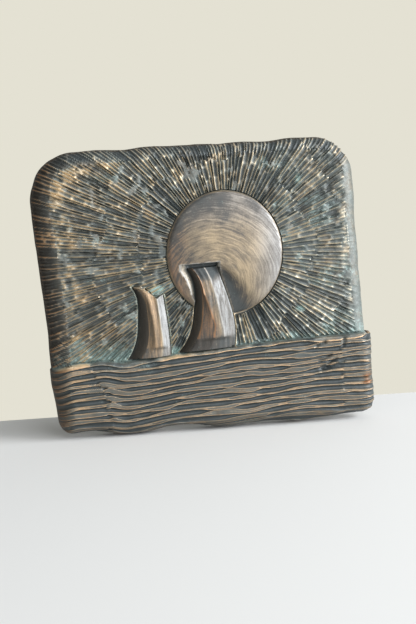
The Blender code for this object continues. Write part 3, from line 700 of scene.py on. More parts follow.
class Belt:
    """A belt of sky whose strokes run outwards side by side."""

    def __init__(self, number):
        self.number = number
        self.strokes = round(2 * math.pi * BELT_MIDDLES[number] / RAY_PITCH)
        chance = np.random.default_rng(70 + number)
        self.jitter = chance.uniform(-JITTER, JITTER, self.strokes)
        self.crest = chance.uniform(0.65, 1.08, self.strokes)
        self.crest[chance.random(self.strokes) < LOW_CRESTS] = LOW_CREST
        self.pace = chance.uniform(0.75, 1.25, self.strokes)
        order = np.arange(self.strokes)
        self.shift = 1.4 * unevenness(order / 6, 0 * order, 1.0, 43 + number)
        self.shift += chance.uniform(-0.22, 0.22, self.strokes)
        self.cuts = chance.random((self.strokes, CUTS, 3))

    def edge(self, angle, outer):
        """Distance of the belt's ragged inner or outer edge."""
        number = self.number + outer
        if number in (0, len(BELTS) - 1):
            return BELTS[number] + 0 * angle
        slow = np.sin(5 * angle + 1.7 * number) + 0.6 * np.sin(11 * angle + number**2)
        return BELTS[number] + 2.0 * slow + 1.6 * unevenness(angle * 16, 0 * angle, 1.0, 40 + number)

    def crest_place(self, stroke, radius):
        """Where the crest before a stroke lies, in strokes round the sun."""
        stroke_inside = stroke % self.strokes
        wobble = 0.17 * unevenness(stroke_inside * 3.1, radius / 6, 1.0, 46 + self.number)
        return stroke + self.jitter[stroke_inside] + wobble

    def relief(self, stroke, across, radius):
        """Relief at a share across a stroke, from 0 in a deep trough to 1 on a crest."""
        first, after = stroke % self.strokes, (stroke + 1) % self.strokes
        run = (radius - BELTS[0]) / RAY_LENGTH * self.pace[first] + self.shift[first]
        cut, travel = np.floor(run).astype(int) % CUTS, run % 1
        depth_chance, end_chance, burr_chance = np.moveaxis(self.cuts[first, cut], -1, 0)
        open_end = 0.2 + 0.7 * end_chance
        body = ease(travel, 0.0, 0.18) * (1 - ease(travel, 0.86, 1.0))
        bite = (0.78 + 0.36 * depth_chance) * (open_end + (1 - open_end) * body)
        ends = [self.crest[side] + 0.16 * unevenness(side * 2.7, radius / 4, 1.0, 49)
                for side in (first, after)]
        crest = ends[0] * (1 - across) + ends[1] * across
        trough = 1 - np.abs(2 * across - 1) ** 1.8
        burr = 0.12 * np.clip(burr_chance - 0.5, 0, 1) * np.exp(
            -(((travel - 0.9) / 0.11) ** 2) - ((across - 0.45) / 0.3) ** 2)
        return crest - bite * trough + burr


belts = [Belt(number) for number in range(len(BELT_MIDDLES))]
print("strokes once round each belt:", [belt.strokes for belt in belts])


def ray_relief(points):
    """Relief of the strokes at any places on the sky."""
    angle, radius = to_circles(points)
    relief = np.full(len(points), 0.5)
    for belt in belts:
        place = stroke_place(angle, belt.strokes)
        here = (radius >= belt.edge(angle, 0)) & (radius < belt.edge(angle, 1))
        for step in (-1, 0, 1):
            stroke = np.floor(place).astype(int) + step
            start, end = belt.crest_place(stroke, radius), belt.crest_place(stroke + 1, radius)
            found = here & (start <= place) & (place < end)
            across = np.clip((place - start) / (end - start), 0, 1)
            relief = np.where(found, belt.relief(stroke, across, radius), relief)
    return relief


# %% [markdown]
# Damp stays longest in the corner over the water, round the small stone's head and in a few
# patches, and there verdigris grows. A patch is a soft oval: its middle across and up, and
# how wide and high it is.

# %% Where damp stays
HEAD_PATCH = (-26.0, 1.5, 4.5, 3.5)
GREEN_SPOTS = ((-18.4, -26.5, 2.0, 1.5), (45.0, 46.5, 1.6, 3.0),
               (42.0, -13.5, 3.0, 1.6), (-23.5, 2.5, 3.0, 1.5))
LEFT_PART, DAMP_REACH = (25, 45), 5.0


def in_patch(x, z, patch):
    """1 in the middle of a soft oval patch, falling to 0 round it."""
    across, up, wide, high = patch
    return np.exp(-((x - across) / wide) ** 2 - ((z - up) / high) ** 2)


def damp_near(points):
    """How damp a place stays: along the water, round the small stone's head and in patches."""
    x, z = points.T
    patches = ease(unevenness(x, z, 9.0, 57) + 0.5 * unevenness(x, z, 3.0, 58) + 0.004 * x, 0.25, 0.9)
    at_left = ease(-x, *LEFT_PART)
    by_water = (1 + 0.4 * at_left) * np.exp(-((z + WATER_LINE) / (DAMP_REACH + 4.0 * at_left)) ** 2)
    by_head = in_patch(x, z, HEAD_PATCH)
    spots = sum(in_patch(x, z, spot) for spot in GREEN_SPOTS)
    return np.clip(0.55 * patches + 0.8 * by_water + 0.45 * by_head, 0, 1.3) + 1.5 * spots


print("damp at the small stone's head:", damp_near(np.array([HEAD_PATCH[:2]])).round(2))

# %% [markdown]
# Not every spot was cut. Here and there a smooth chip of the model's own skin is left, and
# the whole sky swells and sinks a little. The crests were rubbed in dashes, bright here and
# dull there. Along the shoulder, where the sky meets the rolled rim on the left, the burrs
# pile up and hands have rubbed them bright. At the right the strokes fade out towards the rim.

# %% Laying out the sky
ACROSS = np.array([0.0, 0.12, 0.31, 0.5, 0.69, 0.88])
ROW_STEP, BELT_OVERLAP, SKY_REACH = 0.88, 5, 101
SKY_SIDE, SKY_TOP, SKY_FOOT = 77, 66, -31
SHOULDER, SHOULDER_WIDTH, SHOULDER_RISE = 1.45, 0.5, 0.35


def lay_sky(spots, relief, share, crest):
    """Add points of the sky: their relief, share of the rim's width, and nearness to a crest."""
    x, z = spots.T
    chip = ease(unevenness(x, z, 3.6, 51) + 0.3 * unevenness(x, z, 1.4, 52), 0.6, 0.76)
    relief = relief * (1 - chip) + (0.5 + 0.25 * unevenness(x, z, 3.0, 53)) * chip
    slow = 0.2 * unevenness(x, z, 14.0, 54) + 0.07 * unevenness(x, z, 1.1, 55)
    left = ease(-x, 20, 60)
    piled = ease(unevenness(x, z, 3.2, 56) + 0.5 * unevenness(x, z, 1.2, 59), -0.35, 0.6)
    shoulder = np.exp(-(((share - SHOULDER) / SHOULDER_WIDTH) ** 2)) * left * piled
    dull = 0.3 * ease(-x, *LEFT_PART) * np.exp(-(((z + WATER_LINE) / 9.0) ** 2)) + 0.35 * ease(x, 52, 62)
    dashes = 0.74 + 0.5 * ease(unevenness(x, z, 2.3, 58), -0.4, 0.5) + 0.1 * left - dull
    rubbed = np.clip(relief, 0, 1.3) * (0.55 + 0.45 * crest) * dashes * (1 - 0.5 * chip)
    rubbed = rubbed + 0.55 * shoulder + 0.01 + 0.05 * ease(np.abs(x - 8), 25, 45)
    # Towards the upper right the bare crests turn silver-grey, partly a painted reflection of the light
    # from that side.
    sheet.add(spots, SKY_THICKNESS + RAY_RISE * relief + slow + SHOULDER_RISE * shoulder,
              rubbed=rubbed, damp=damp_near(spots) + 0.2 * chip,
              warm=0.12 * left - 0.3 * ease(x + 0.4 * z, -10, 35))


for belt in belts:
    first_row = BELTS[belt.number] - BELT_OVERLAP
    last_row = min(BELTS[belt.number + 1] + BELT_OVERLAP, SKY_REACH)
    stroke, across, radius = (part.ravel() for part in np.meshgrid(
        np.arange(belt.strokes), ACROSS, np.arange(first_row, last_row, ROW_STEP), indexing="ij"))
    start, end = belt.crest_place(stroke, radius), belt.crest_place(stroke + 1, radius)
    angle = stroke_angle(start + (end - start) * across, belt.strokes)
    gap = np.minimum(radius - belt.edge(angle, 0), belt.edge(angle, 1) - radius)
    spots = from_circles(angle, radius)
    x, z = spots.T
    free = (gap > 0.12) & (np.abs(x) < SKY_SIDE) & (z < SKY_TOP) & (z > SKY_FOOT)
    for test in (lambda places: clear_of_stones(places, STONE_ROOM),
                 lambda places: places[:, 1] > water_line(places[:, 0]) + LIP_SLOPE / 2 + 0.35,
                 lambda places: inside(places, bends), lambda places: roll_share(places) > 1.03):
        free[free] = test(spots[free])
    spots, across = spots[free], across[free]
    relief = belt.relief(stroke[free], across, radius[free])
    share = roll_share(spots)
    x, z = spots.T
    ragged = share + 0.5 * unevenness(x, z, 2.2, 62)
    worn = 0.9 * ease(x, 40, 60) * (1 - ease(ragged, 1.0, 1.8)) * (1 - ease(z, 42, 52))
    lay_sky(spots, relief * (1 - worn) + 0.8 * worn, share, np.abs(2 * across - 1) ** 1.5)
print("sky laid out,", sheet.count, "points so far")

# %% [markdown]
# ## Strokes over the rim
#
# The strokes run on over the rolled edge at the left and the top. Here the surface turns from
# facing forward to facing sideways, so a stroke can't just change the height: it pushes the
# metal in along the surface's own direction. The right-hand roll was left smooth; its pale
# blue-green, silver-grey finish is partly a painted reflection of the light that it faces. On
# the roll that faces left only the crests are bare, as thin coppery lines on dark skin; that
# dark skin is partly painted shade, as this side turns away from the light.

# %% The rim of the sky
RIM_RISE = 0.9
RIM_SHARES = (0.04, 0.1, 0.17, 0.26, 0.36, 0.47, 0.59, 0.72, 0.85, 0.97)
inward = -outward_of(outline, 2)


def faces_right(direction):
    """1 where the edge faces right, from the inward direction at each point."""
    return ease(-direction[:, 0], 0.8, 0.97)


def rim_relief(points, direction):
    """Relief of the strokes on the rim, at most level with the roll, and smooth on the right."""
    smooth = 0.92 * faces_right(direction)
    relief = np.clip(ray_relief(points), -0.2, 1.0)
    return (1 - smooth) * relief + smooth * (0.9 + 0.12 * unevenness(points[:, 0], points[:, 1], 1.6, 60))


sky_side = np.flatnonzero(outline[:, 1] > water_line(outline[:, 0]) + LIP_SLOPE / 2 + 0.7)
rim_points, rim_inward = outline[sky_side], inward[sky_side]
rim_width = roll_width(rim_points)
lit_plain_side, shaded_left_side = faces_right(rim_inward), ease(rim_inward[:, 0], 0.1, 0.8)
for share in RIM_SHARES:
    flat_spots = rim_points + rim_inward * (rim_width * share)[:, None]
    steep = math.sqrt(1 - (1 - share) ** 2)
    relief = rim_relief(flat_spots, rim_inward)
    push = RIM_RISE * (relief - 1)
    dents = 0.12 * unevenness(flat_spots[:, 0], flat_spots[:, 1], 2.4, 61)
    shoulder = ease(share, 0.6, 1.0) * ease(-flat_spots[:, 0], 20, 60)
    lift = (dents + SHOULDER_RISE * shoulder + RIM_RISE * 0.9) * share
    bare = np.clip(relief, 0, 1.1) ** (1.8 + 0.6 * shaded_left_side) * (0.95 + 0.05 * share)
    # Painted shade and reflection: the roll facing left gets dark coppery skin between its bare crests, and
    # the smooth roll facing right gets a pale blue-green, silver-grey finish.
    sheet.add(flat_spots, rolled(share, SKY_THICKNESS) + push * steep + lift,
              rubbed=bare * (1 + 0.85 * shaded_left_side - 0.7 * lit_plain_side) + 0.2 * shoulder,
              warm=0.9 * shaded_left_side * (1 - 0.6 * share) - 0.8 * lit_plain_side,
              damp=0.5 * damp_near(flat_spots) + 0.25 * lit_plain_side,
              shift=-rim_inward * (push * (1 - steep))[:, None])
print("rim of the sky laid out,", sheet.count, "points so far")

# %% [markdown]
# ## The water
#
# The water is cut with a wider gouge that follows the waves from side to side. Between its
# round grooves stand flat lands whose edges are rubbed bright. A groove opens and closes along
# its way, so that some are long and some end in a point, like a lens. Near both ends a crease
# breaks the waves, where the carver set the tool down again.

# %% Where each groove runs, and how wide it opens
WAVE_PITCH, WAVE_RISE, WAVE_SWAY = 3.2, 1.25, 0.55
GROOVE_MIDDLE, GROOVE_HALF = 0.6, 0.39
NEARLY_CLOSED, WIDE_OPEN = 0.12, 1.12


def groove_line(x, number, seed, shift):
    """Height z of the middle of a groove at each x."""
    level = number + shift + GROOVE_MIDDLE
    sway = WAVE_SWAY * np.sin(2 * np.pi * x / WAVE_LENGTH + 0.45 * number) * min(level / 2, 1)
    stray = 0.5 * unevenness(x, number * 61.0 + 0 * x, 20.0, seed)
    stray = stray + 0.18 * unevenness(x, number * 31.0 + 0 * x, 7.0, seed + 1)
    return water_line(x) - LIP_SLOPE / 2 - level * WAVE_PITCH + sway + stray * min(level, 1)


def groove_opening(x, number, seed):
    """How wide a groove is open at each x, where 1 is its usual width."""
    slow = unevenness(x, number * 47.0 + 0 * x, 13.0, seed + 2)
    slow = slow + 0.4 * unevenness(x, number * 23.0 + 0 * x, 5.0, seed + 3)
    return np.clip(0.92 + 0.8 * slow, NEARLY_CLOSED, WIDE_OPEN)


first_groove = groove_opening(np.linspace(-50, 50, 5), 0, 85)
print("opening of the first groove from left to right:", first_groove.round(2))

# %% [markdown]
# Two things break the waves. At the left crease they slant, because the carver turned the
# model there, and beside the right crease five cuts cross them. Every point of the water
# goes through the same function: it leaves out what falls outside, rolls the surface over
# near the outline, and adds a coppery stain near the right end.

# %% The creases, the slanted cuts and the finish of the water
CREASE_LEFT, CREASE_RIGHT, CREASE_WIDTH = 57.5, 60.0, 0.9
SLANT, SLANT_LIMITS, SLANT_REACH = 0.42, (-5.0, 0.9), 5.5
SLANTED_CUTS = (((49.4, -41.9), (57.2, -38.8)),
                ((49.7, -43.4), (60.9, -40.2)),
                ((47.6, -31.6), (52.4, -30.2)),
                ((61.7, -28.1), (61.3, -33.0)),
                ((48.7, -38.7), (54.5, -36.7)))
CUT_HALF_WIDTH = 0.55
COPPER_STAIN = (72.0, -50.0, 2.6, 2.6)


def slanted_cuts(spots):
    """How deep the slanted cuts are at each place, from 0 to 1."""
    depth = np.zeros(len(spots))
    for start, end in SLANTED_CUTS:
        start, along = np.array(start), np.subtract(end, start)
        share = np.clip((spots - start) @ along / (along @ along), 0, 1)
        away = np.linalg.norm(spots - start - share[:, None] * along, axis=1)
        depth = np.maximum(depth, np.exp(-((away / CUT_HALF_WIDTH) ** 2)))
    return depth


def lay_band(spots, relief, rub):
    """Add points of the water that lie inside the outline and below its lip."""
    slant = np.clip(SLANT * (spots[:, 1] + WATER_LINE + 2), *SLANT_LIMITS)
    slant = slant * np.exp(-(((spots[:, 0] + CREASE_LEFT) / SLANT_REACH) ** 2))
    spots = spots - np.stack([slant, 0 * slant], axis=1)
    free = (spots[:, 1] < water_line(spots[:, 0]) - LIP_SLOPE / 2 - 0.25) & inside(spots, outline)
    gap = np.zeros(len(spots))
    gap[free] = nearest_on(spots[free], outline)
    free &= gap > 0.28
    spots, relief, rub, gap = spots[free], relief[free], rub[free], gap[free]
    if len(spots) == 0:
        return
    x, z = spots.T
    share = np.clip(gap / roll_width(spots), 0, 1)
    steep = np.sqrt(1 - (1 - share) ** 2)
    cut = slanted_cuts(spots)
    relief, rub = relief - 0.8 * cut, rub * (1 - 0.8 * cut)
    slow = 0.16 * unevenness(x, z, 17.0, 73) + 0.07 * unevenness(x, z, 1.3, 75)
    lift = WAVE_RISE * (relief - 0.15) * (0.3 + 0.7 * steep) * ease(gap, -0.4, 0.8) + slow * share
    stain = in_patch(x, z, COPPER_STAIN)
    left_end = ease(-x, 58, 61)
    left_wall = (1 - share) * ease(-x, 66, 72)
    on_land = ease(rub, 0.06, 0.2)
    rub = rub + 0.16 * left_end * on_land
    sheet.add(spots, rolled(share, BAND_THICKNESS) + lift,
              rubbed=rub * (0.6 + 0.4 * share) + 0.5 * stain + 0.12 * left_wall,
              damp=0.35 * ease(unevenness(x, z, 8.0, 76), 0.3, 0.9),
              warm=0.5 * on_land + 1.2 * stain + 0.5 * left_wall)


some_cut = np.array([SLANTED_CUTS[0][0]])
print("depth at the start of the first slanted cut:", slanted_cuts(some_cut).round(2))

# %% [markdown]
# Each groove is a row of seven places across it, and between two grooves lies a land with a
# rubbed edge on each side and a duller crown. The first land is the lip of the water. It was
# rubbed brightest in front of the stones and at the left end.

# %% Laying out the water
COLUMN_STEP, WAVES = 0.65, 13
GROOVE_PLACES = (-1.0, -0.82, -0.45, 0.0, 0.45, 0.82, 1.0)
UPPER_EDGE_RUB, LOWER_EDGE_RUB, SECOND_RUB, CROWN_RUB = 1.15, 0.8, 0.24, 0.28
RUBBED_EDGE = 0.3
LIP_BRIGHT_PLACE, LIP_BRIGHT_REACH = 17.4, 7.5


def lip_rub(x):
    """How bare the first land is: bright in front of the stones and at the left end."""
    in_front = np.exp(-(((x + LIP_BRIGHT_PLACE) / LIP_BRIGHT_REACH) ** 2))
    at_left = ease(-x, 57, 60) * (1 - ease(-x, 71, 75))
    return 0.08 + 0.85 * in_front + 0.7 * at_left + 0.25 * unevenness(x, 0 * x, 5.0, 77)


def lay_water(left, right, seed, shift):
    """Lay out the grooves between two places across the plate."""
    x = np.linspace(left, right, max(3, round((right - left) / COLUMN_STEP)))
    lines = [groove_line(x, number, seed, shift) for number in range(-1, WAVES)]
    first_edge = lines[1] + GROOVE_HALF * WAVE_PITCH * groove_opening(x, 0, seed)
    lip_edge = water_line(x) - LIP_SLOPE / 2
    lay_band(np.stack([x, (first_edge + lip_edge) / 2], axis=1), np.full(len(x), 0.95), lip_rub(x))
    for number in range(WAVES):
        opening = groove_opening(x, number, seed)
        room = np.minimum(lines[number] - lines[number + 1], WAVE_PITCH)
        half = GROOVE_HALF * room * opening
        depth = (0.95 + 0.15 * unevenness(x, number * 19.0 + 0 * x, 9.0, seed + 4)) * opening**0.6
        for place_in in GROOVE_PLACES:
            spots = np.stack([x, lines[number + 1] - place_in * half], axis=1)
            relief = 1.0 - depth * (1 - place_in**2) ** 0.75
            rub = {-1.0: UPPER_EDGE_RUB, 1.0: LOWER_EDGE_RUB}.get(place_in, 0.0) + 0 * x
            if number == 0 and place_in == -1:
                rub = 0.5 + 0.5 * ease(x, -8, 4) + lip_rub(x)
            lay_band(spots, relief, rub)
        below = lines[number + 1] - WAVE_PITCH * 0.6
        if number + 2 < len(lines):
            next_room = np.minimum(lines[number + 1] - lines[number + 2], WAVE_PITCH)
            below = lines[number + 2] + GROOVE_HALF * next_room * groove_opening(x, number + 1, seed)
        crown = (lines[number + 1] - half + below) / 2
        for edge, step in ((lines[number + 1] - half, -RUBBED_EDGE), (below, RUBBED_EDGE)):
            wide = np.abs(edge - crown) > 1.7 * RUBBED_EDGE
            beside = np.stack([x, edge + step], axis=1)[wide]
            lay_band(beside, np.full(len(beside), 1.0), np.full(len(beside), SECOND_RUB))
        lay_band(np.stack([x, crown], axis=1), np.full(len(x), 0.97),
                 CROWN_RUB + 0.34 * unevenness(x, number * 11.0 + 0 * x, 6.0, seed + 5))


# %% The lip, and the three stretches of water between the creases
lip_x = np.arange(-LEFT_AT_WATER + 0.4, RIGHT_AT_WATER - 0.2, 0.7)
ragged = 0.2 * unevenness(lip_x, 0 * lip_x, 3.0, 78)
upper = np.stack([lip_x, water_line(lip_x) + ragged + LIP_SLOPE / 2], axis=1)
lower = np.stack([lip_x, water_line(lip_x) + ragged - LIP_SLOPE / 2], axis=1)
upper_share, lower_share = roll_share(upper), roll_share(lower)
sheet.add(upper, rolled(upper_share, SKY_THICKNESS) - 0.2 * ease(upper_share, 0.1, 0.4),
          rubbed=0.1, damp=0.9, line=True)
lip_relief = 0.72 + 0.3 * unevenness(lip_x, 0 * lip_x, 3.5, 74)
lip_rise = WAVE_RISE * lip_relief * ease(lower_share, 0.05, 0.4)
sheet.add(lower, rolled(lower_share, BAND_THICKNESS) + lip_rise, rubbed=lip_rub(lip_x) + 0.1, line=True)
lay_water(-LEFT_AT_WATER - BAND_STEP_LEFT, -CREASE_LEFT - CREASE_WIDTH / 2, 81, 0.0)
lay_water(-CREASE_LEFT + CREASE_WIDTH / 2, CREASE_RIGHT - CREASE_WIDTH / 2, 85, 0.0)
lay_water(CREASE_RIGHT + CREASE_WIDTH / 2, RIGHT_AT_WATER + BAND_STEP_RIGHT, 89, -0.05)
print("water laid out,", sheet.count, "points so far")

# %% [markdown]
# ## From points to one closed casting
#
# The outline closes the sheet. Blender's triangulation joins the points, and the triangles
# outside the outline are dropped.

# %% The triangles of the front
MERGE, LEAST_AREA = 0.02, 1e-5
above = outline[:, 1] > water_line(outline[:, 0])
wall_push = RIM_RISE * (rim_relief(outline, inward) - 1) * above
sheet.add(outline, RIM_WALL, rubbed=0.35, warm=0.9, line=True, closed=True,
          shift=-inward * wall_push[:, None])
flat = [tuple(spot) for spot in np.concatenate(sheet.flat)]
spots, _, faces, sources, _, _ = delaunay_2d_cdt(flat, sheet.lines, [], 0, MERGE, True)
spots = np.array([tuple(spot) for spot in spots])
faces = np.array(faces)
corners = spots[faces]
legs = corners[:, 1] - corners[:, 0], corners[:, 2] - corners[:, 0]
area = np.abs(legs[0][:, 0] * legs[1][:, 1] - legs[0][:, 1] * legs[1][:, 0]) / 2
faces = faces[inside(corners.mean(axis=1), outline) & (area > LEAST_AREA)]
print("front:", len(faces), "triangles from", len(spots), "points")

# %% [markdown]
# Each point of the result takes the height and the finish of the point that it came from.
# Where two kept lines cross, the triangulation makes a point of its own, and that one takes
# them from its nearest neighbour. Nothing may stand higher than the solid.

# %% Lifting the front
HIGHEST = 13.38
lifted = np.concatenate(sheet.lifted)
finish = {name: np.concatenate(parts) for name, parts in sheet.finish.items()}
source = np.array([found[0] if found else -1 for found in sources])
lost = np.flatnonzero(source < 0)
known = np.flatnonzero(source >= 0)
for number in lost:
    nearest = known[np.argmin(((spots[known] - spots[number]) ** 2).sum(axis=1))]
    source[number] = source[nearest]
lifted = lifted[source]
lifted[:, 1] = np.minimum(lifted[:, 1], HIGHEST)
finish = {name: values[source] for name, values in finish.items()}
for number in lost:
    lifted[number, [0, 2]] = spots[number]
print("front lifted, up to", lifted[:, 1].max().round(2), "mm, with", len(lost), "crossings")

# %% [markdown]
# The sheet is closed with the side wall and a flat back, edged by a small bevel. The back is
# plain. A pocket near its top takes the head of a nail: its roof slopes up inside, so the
# plaque can't slip off. All walls start from the open edge of the front.

# %% The open edge of the front
def rim_loop(faces):
    """Order of the points round the open edge of the sheet."""
    starts, ends = faces.ravel(), np.roll(faces, -1, axis=1).ravel()
    size = int(faces.max()) + 1
    ways, back = starts.astype(np.int64) * size + ends, ends.astype(np.int64) * size + starts
    open_edges = ~np.isin(ways, back)
    following = dict(zip(starts[open_edges].tolist(), ends[open_edges].tolist()))
    first = min(following)
    loop = [first]
    while following[loop[-1]] != first:
        loop.append(following[loop[-1]])
    return np.array(loop)


loop = rim_loop(faces)
print("open edge:", len(loop), "points")

# %% The side wall, the back and the pocket
POCKET_HALF_WIDTH, POCKET_HEIGHT, POCKET_TOP = 5.5, 13.0, 52.0
POCKET_DEPTH, POCKET_UNDERCUT = 5.5, 1.6
SIDE_DRAFT, EVEN_OVER, EDGE_REACH = 0.1, 6, 5


def pocket_mouth(steps=20):
    """Mouth of the pocket, counter-clockwise from its lower left corner."""
    angles = np.pi * np.arange(steps + 1) / steps
    arch = np.stack([POCKET_HALF_WIDTH * np.cos(angles),
                     POCKET_TOP - POCKET_HALF_WIDTH + POCKET_HALF_WIDTH * np.sin(angles)], axis=1)
    floor = POCKET_TOP - POCKET_HEIGHT
    return np.vstack([[-POCKET_HALF_WIDTH, floor], [POCKET_HALF_WIDTH, floor], arch])


def at_depth(line, depth):
    """A flat line at a depth in front of the back, as points in space."""
    return np.stack([line[:, 0], np.full(len(line), depth), line[:, 1]], axis=1)


def wall(front, back):
    """Two triangles for each step between two rings of points."""
    front_next, back_next = np.roll(front, -1), np.roll(back, -1)
    first = np.stack([front_next, front, back], axis=1)
    return np.vstack([first, np.stack([front_next, back, back_next], axis=1)])


rim_line = spots[loop]
side_line = rim_line - outward_of(rim_line, EDGE_REACH) * SIDE_DRAFT
evened = sum(np.roll(rim_line, step, axis=0) for step in range(-EVEN_OVER, EVEN_OVER + 1))
evened = evened / (2 * EVEN_OVER + 1)
back_line = evened - outward_of(evened, EDGE_REACH) * BACK_BEVEL
mouth_line = pocket_mouth()
rings = [at_depth(side_line, BACK_BEVEL), at_depth(back_line, 0.0), at_depth(mouth_line, 0.0),
         at_depth(mouth_line + [0, POCKET_UNDERCUT], POCKET_DEPTH)]
starts = len(lifted) + np.cumsum([0] + [len(ring) for ring in rings])
side, back, mouth, deep = (np.arange(start, start + len(ring)) for start, ring in zip(starts, rings))
print("rings of the side, the back, the pocket's mouth and its end:", [len(ring) for ring in rings])

# %% The flat back, and all triangles together
BACK_FINISH = {"rubbed": 0.3, "warm": 0.7}
cap_line = np.vstack([back_line, mouth_line])
cap_edges = [(n, (n + 1) % len(back)) for n in range(len(back))]
cap_edges += [(len(back) + n, len(back) + (n + 1) % len(mouth)) for n in range(len(mouth))]
cap_spots, _, cap, cap_source, _, _ = delaunay_2d_cdt(
    [tuple(spot) for spot in cap_line], cap_edges, [], 0, MERGE / 10, True)
names = np.concatenate([back, mouth])
cap_names = names[[found[0] for found in cap_source]]
cap = np.array(cap)
centres = np.array([tuple(spot) for spot in cap_spots])[cap].mean(axis=1)
cap = cap[inside(centres, back_line) & ~inside(centres, mouth_line)]
ceiling = np.stack([np.full(len(deep) - 2, deep[0]), deep[2:], deep[1:-1]], axis=1)
triangles = np.vstack([faces, wall(loop, side), wall(side, back), wall(deep[::-1], mouth[::-1]),
                       cap_names[cap][:, ::-1], ceiling])
points = np.vstack([lifted] + rings)
plain_back = np.zeros(len(points) - len(lifted))
finish = {name: np.concatenate([values, plain_back + BACK_FINISH.get(name, 0.0)])
          for name, values in finish.items()}
print("casting:", len(points), "points and", len(triangles), "triangles")

# %% [markdown]
# The mesh is filled straight from the arrays, which is much faster than point by point. The
# finish goes with it as one attribute for each kind of wear, so that the material can read
# it. The shading is smooth, but breaks where the carving turns sharply.

# %% The mesh, with the wear kept on it
SHARP_ANGLE = 62


def casting_mesh(name, points, triangles, finish):
    """A mesh in metres from points whose second number is the height over the back."""
    used, place = np.unique(triangles, return_inverse=True)
    triangles, points = place.reshape(-1, 3), points[used]
    mesh = bpy.data.meshes.new(name)
    mesh.vertices.add(len(points))
    mesh.vertices.foreach_set("co", (points * [MM, -MM, MM]).astype(np.float32).ravel())
    mesh.loops.add(triangles.size)
    mesh.loops.foreach_set("vertex_index", triangles.astype(np.int32).ravel())
    mesh.polygons.add(len(triangles))
    mesh.polygons.foreach_set("loop_start", np.arange(0, triangles.size, 3, dtype=np.int32))
    mesh.update(calc_edges=True)
    for label, values in finish.items():
        layer = mesh.attributes.new(label, "FLOAT", "POINT")
        layer.data.foreach_set("value", values[used].astype(np.float32))
    mesh.shade_smooth()
    mesh.set_sharp_from_angle(angle=math.radians(SHARP_ANGLE))
    return mesh


casting = bpy.data.objects.new(
    "plaque_casting", casting_mesh("plaque_casting", points, triangles, finish))
bpy.context.scene.collection.objects.link(casting)
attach(casting, "root")
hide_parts("plaque")
print("casting ready:", tuple(round(size / MM, 1) for size in casting.dimensions), "mm")

# %% [markdown]
# ## The finish: patinated bronze
#
# Cast bronze is darkened with chemicals and heat until a thin skin of oxides covers it. Then
# the crests, the sun and the stones are rubbed with wire wool, and the warm metal comes
# through. So the eye sees dull dark troughs between thin bright lines. Where damp stays, the
# skin turns blue-green. One material does it all: the wear that the carving left on the mesh
# says where the metal is bare, and noise keeps the borders uneven.

# %% A helper for nodes, and one for colours
def add(tree, kind, inputs=None, **settings):
    """Add one node with its settings, and put a value or a link into each input named."""
    made = tree.nodes.new(kind)
    for name, value in settings.items():
        setattr(made, name, value)
    for socket, value in (inputs or {}).items():
        if isinstance(value, bpy.types.NodeSocket):
            tree.links.new(value, made.inputs[socket])
        else:
            made.inputs[socket].default_value = value
    return made


def paint(code):
    """Linear colour of an sRGB hex value."""
    parts = [int(code[place:place + 2], 16) / 255 for place in (1, 3, 5)]
    return [part / 12.92 if part <= 0.04045 else ((part + 0.055) / 1.055) ** 2.4 for part in parts] + [1.0]


print("middle grey in linear light:", round(paint("#808080")[0], 3))

# %% [markdown]
# Some inputs of a node share a name, so they are called by number. A mix node takes its
# factor at 0, two plain values at 2 and 3, and two colours at 6 and 7, and gives the colour
# at 2. A vector is scaled by what comes in at 3.
#
# The patina is mottled at two sizes: grains of 0.9 mm, and blotches of 6 mm. The real grains
# are finer, and are drawn this coarse so that they show.

# %% Maps of the wear, and noise at two sizes
FACTOR, VALUE_A, VALUE_B, COLOUR_A, COLOUR_B = 0, 2, 3, 6, 7
MIXED, SCALED_BY = 2, 3
GRAIN_SIZE, BLOTCH_SIZE = 0.9 * MM, 6 * MM
bronze = bpy.data.materials.new("patinated_rubbed_bronze")
bronze.use_nodes = True
tree = bronze.node_tree
tree.nodes.clear()
place = add(tree, "ShaderNodeTexCoord").outputs["Object"]
rub, burnish, streaked, damp, warm = (
    add(tree, "ShaderNodeAttribute", attribute_name=name).outputs["Fac"] for name in FINISHES)
grain = add(tree, "ShaderNodeTexNoise",
            {"Vector": place, "Scale": 1 / GRAIN_SIZE, "Detail": 3.0, "Roughness": 0.65})
blotch = add(tree, "ShaderNodeTexNoise",
             {"Vector": place, "Scale": 1 / BLOTCH_SIZE, "Detail": 4.0, "Roughness": 0.6})
print("nodes for the maps:", len(tree.nodes))

# %% [markdown]
# The sun was rubbed round and round, so fine arcs lie on it. The real ones are a few
# hundredths of a millimetre wide, too fine to show here, so these are drawn 0.65 mm apart.
# The stones were rubbed up and down, which leaves straight streaks, drawn 0.6 mm wide and
# 7 mm long. An arc runs at a steady distance from a middle, and a hand's arcs stray a little.

# %% Brushing round the sun and streaks down the stones
ARC_WIDTH, ARC_STRAY, ARC_TURN = 0.65 * MM, 1.7 * MM, 0.45
ARC_MIDDLE, STREAK = (3.0, 2.0, 4.0), (0.6, 0.6, 7.0)
astray = add(tree, "ShaderNodeVectorMath", {0: blotch.outputs["Color"], SCALED_BY: ARC_STRAY},
             operation="SCALE")
astray = add(tree, "ShaderNodeVectorMath", {0: place, 1: astray.outputs["Vector"]}, operation="ADD")
from_sun = add(tree, "ShaderNodeVectorMath",
               {0: astray.outputs["Vector"], 1: [part * MM for part in ARC_MIDDLE]},
               operation="SUBTRACT")
parts = add(tree, "ShaderNodeSeparateXYZ", {"Vector": from_sun.outputs["Vector"]}).outputs
turned = add(tree, "ShaderNodeMath", {0: parts["Z"], 1: parts["X"]}, operation="ARCTAN2").outputs[0]
turned = add(tree, "ShaderNodeMath", {0: turned, 1: 1 / ARC_TURN}, operation="MULTIPLY").outputs[0]
